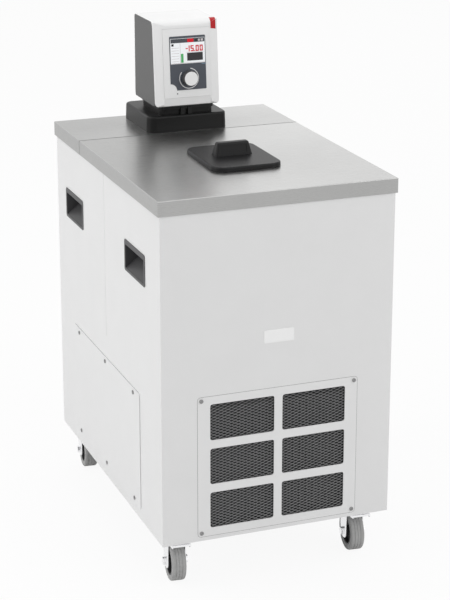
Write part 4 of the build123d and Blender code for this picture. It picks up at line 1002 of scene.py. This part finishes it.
@dataclass
class Studio:
    """Floor, lights and the camera at the photograph's angle."""

    position: Triple = (-1.18271, -3.175, 1.58216)
    turn: float = 0.36258
    pitch: float = 0.28715
    lens: float = 110.885
    shift: float = -0.12
    floor_size: float = 30.0
    world_light: float = 0.70
    floor_cells: int = 8
    floor_gray: float = 0.78
    floor_roughness: float = 0.9
    floor_glow: float = 0.92
    aim: Triple = (0, 0, 0.5)

    def build(self) -> None:
        """Builds the floor, the light and the camera."""
        self._floor()
        self._world()
        for lamp in LAMPS:
            self._hang(lamp)
        self._camera()
        bpy.context.scene.view_settings.view_transform = "Standard"

    def _floor(self) -> None:
        """Lays a plain pale floor that shows white to the camera but for a soft shadow."""
        mesh = bmesh.new()
        cells = self.floor_cells
        bmesh.ops.create_grid(mesh, x_segments=cells, y_segments=cells, size=self.floor_size / 2)
        data = bpy.data.meshes.new("floor")
        mesh.to_mesh(data)
        mesh.free()
        floor = bpy.data.objects.new("floor", data)
        bpy.context.scene.collection.objects.link(floor)
        data.materials.append(self._floor_material())

    def _floor_material(self) -> bpy.types.Material:
        """Builds the floor's material.

        Returns:
            A matt pale surface that glows to the camera and in reflections.
        """
        material = bpy.data.materials.new("floor_pale")
        material.use_nodes = True
        tree = material.node_tree
        shader = tree.nodes["Principled BSDF"]
        gray = self.floor_gray
        shader.inputs["Base Color"].default_value = (gray, gray, gray, 1)
        shader.inputs["Roughness"].default_value = self.floor_roughness
        glow = tree.nodes.new("ShaderNodeEmission")
        glow.inputs["Color"].default_value = (1, 1, 1, 1)
        mix = tree.nodes.new("ShaderNodeMixShader")
        share = tree.nodes.new("ShaderNodeMath")
        share.operation = "MULTIPLY"
        share.inputs[1].default_value = self.floor_glow
        tree.links.new(self._seen(tree), share.inputs[0])
        tree.links.new(share.outputs[0], mix.inputs[0])
        tree.links.new(shader.outputs[0], mix.inputs[1])
        tree.links.new(glow.outputs[0], mix.inputs[2])
        tree.links.new(mix.outputs[0], tree.nodes["Material Output"].inputs["Surface"])
        return material

    @staticmethod
    def _seen(tree: bpy.types.NodeTree) -> bpy.types.NodeSocket:
        """Tells the rays that show in the picture from those that only carry light.

        Args:
            tree: the tree it goes in.

        Returns:
            A socket that is 1 for the camera and for reflections.
        """
        path = tree.nodes.new("ShaderNodeLightPath")
        seen = tree.nodes.new("ShaderNodeMath")
        seen.operation = "MAXIMUM"
        tree.links.new(path.outputs["Is Camera Ray"], seen.inputs[0])
        tree.links.new(path.outputs["Is Glossy Ray"], seen.inputs[1])
        return seen.outputs[0]

    def _world(self) -> None:
        """Lights the room evenly and shows white to the camera and in reflections."""
        world = bpy.data.worlds.new("studio")
        bpy.context.scene.world = world
        world.use_nodes = True
        tree = world.node_tree
        sky = tree.nodes["Background"]
        level = tree.nodes.new("ShaderNodeMapRange")
        level.inputs["To Min"].default_value = self.world_light
        level.inputs["To Max"].default_value = 1.0
        tree.links.new(self._seen(tree), level.inputs["Value"])
        tree.links.new(level.outputs["Result"], sky.inputs["Strength"])
        sky.inputs["Color"].default_value = (1, 1, 1, 1)

    def _hang(self, lamp: Lamp) -> None:
        """Hangs a lamp that points at the object.

        Args:
            lamp: the lamp to hang.
        """
        data = bpy.data.lights.new(lamp.name, "AREA")
        data.size = lamp.size
        data.energy = lamp.power
        light = bpy.data.objects.new(lamp.name, data)
        bpy.context.scene.collection.objects.link(light)
        light.location = lamp.place
        light.rotation_mode = "QUATERNION"
        light.rotation_quaternion = (Vector(self.aim) - Vector(lamp.place)).to_track_quat("-Z", "Y")

    def _camera(self) -> None:
        """Sets the camera up at the photograph's place, turn and lens."""
        data = bpy.data.cameras.new("camera")
        data.lens = self.lens
        data.shift_y = self.shift
        camera = bpy.data.objects.new("camera", data)
        bpy.context.scene.collection.objects.link(camera)
        camera.location = self.position
        ahead = Vector((
            math.sin(self.turn) * math.cos(self.pitch),
            math.cos(self.turn) * math.cos(self.pitch),
            -math.sin(self.pitch),
        ))
        camera.rotation_mode = "QUATERNION"
        camera.rotation_quaternion = ahead.to_track_quat("-Z", "Y")
        bpy.context.scene.camera = camera


def main() -> None:
    """Builds every piece in order."""
    logging.basicConfig(level=logging.INFO, format="%(name)s: %(message)s")
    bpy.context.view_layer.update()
    maker = Maker(Paintshop())
    Cabinet(maker).dress()
    GrilleMesh(maker).build()
    face = FacePlane()
    Display(maker, face).build()
    KnobRing(maker, face).build()
    AccentWrap(maker).build()
    GapShadeLines(maker).build()
    Studio().build()


if __name__ == "__main__":
    main()
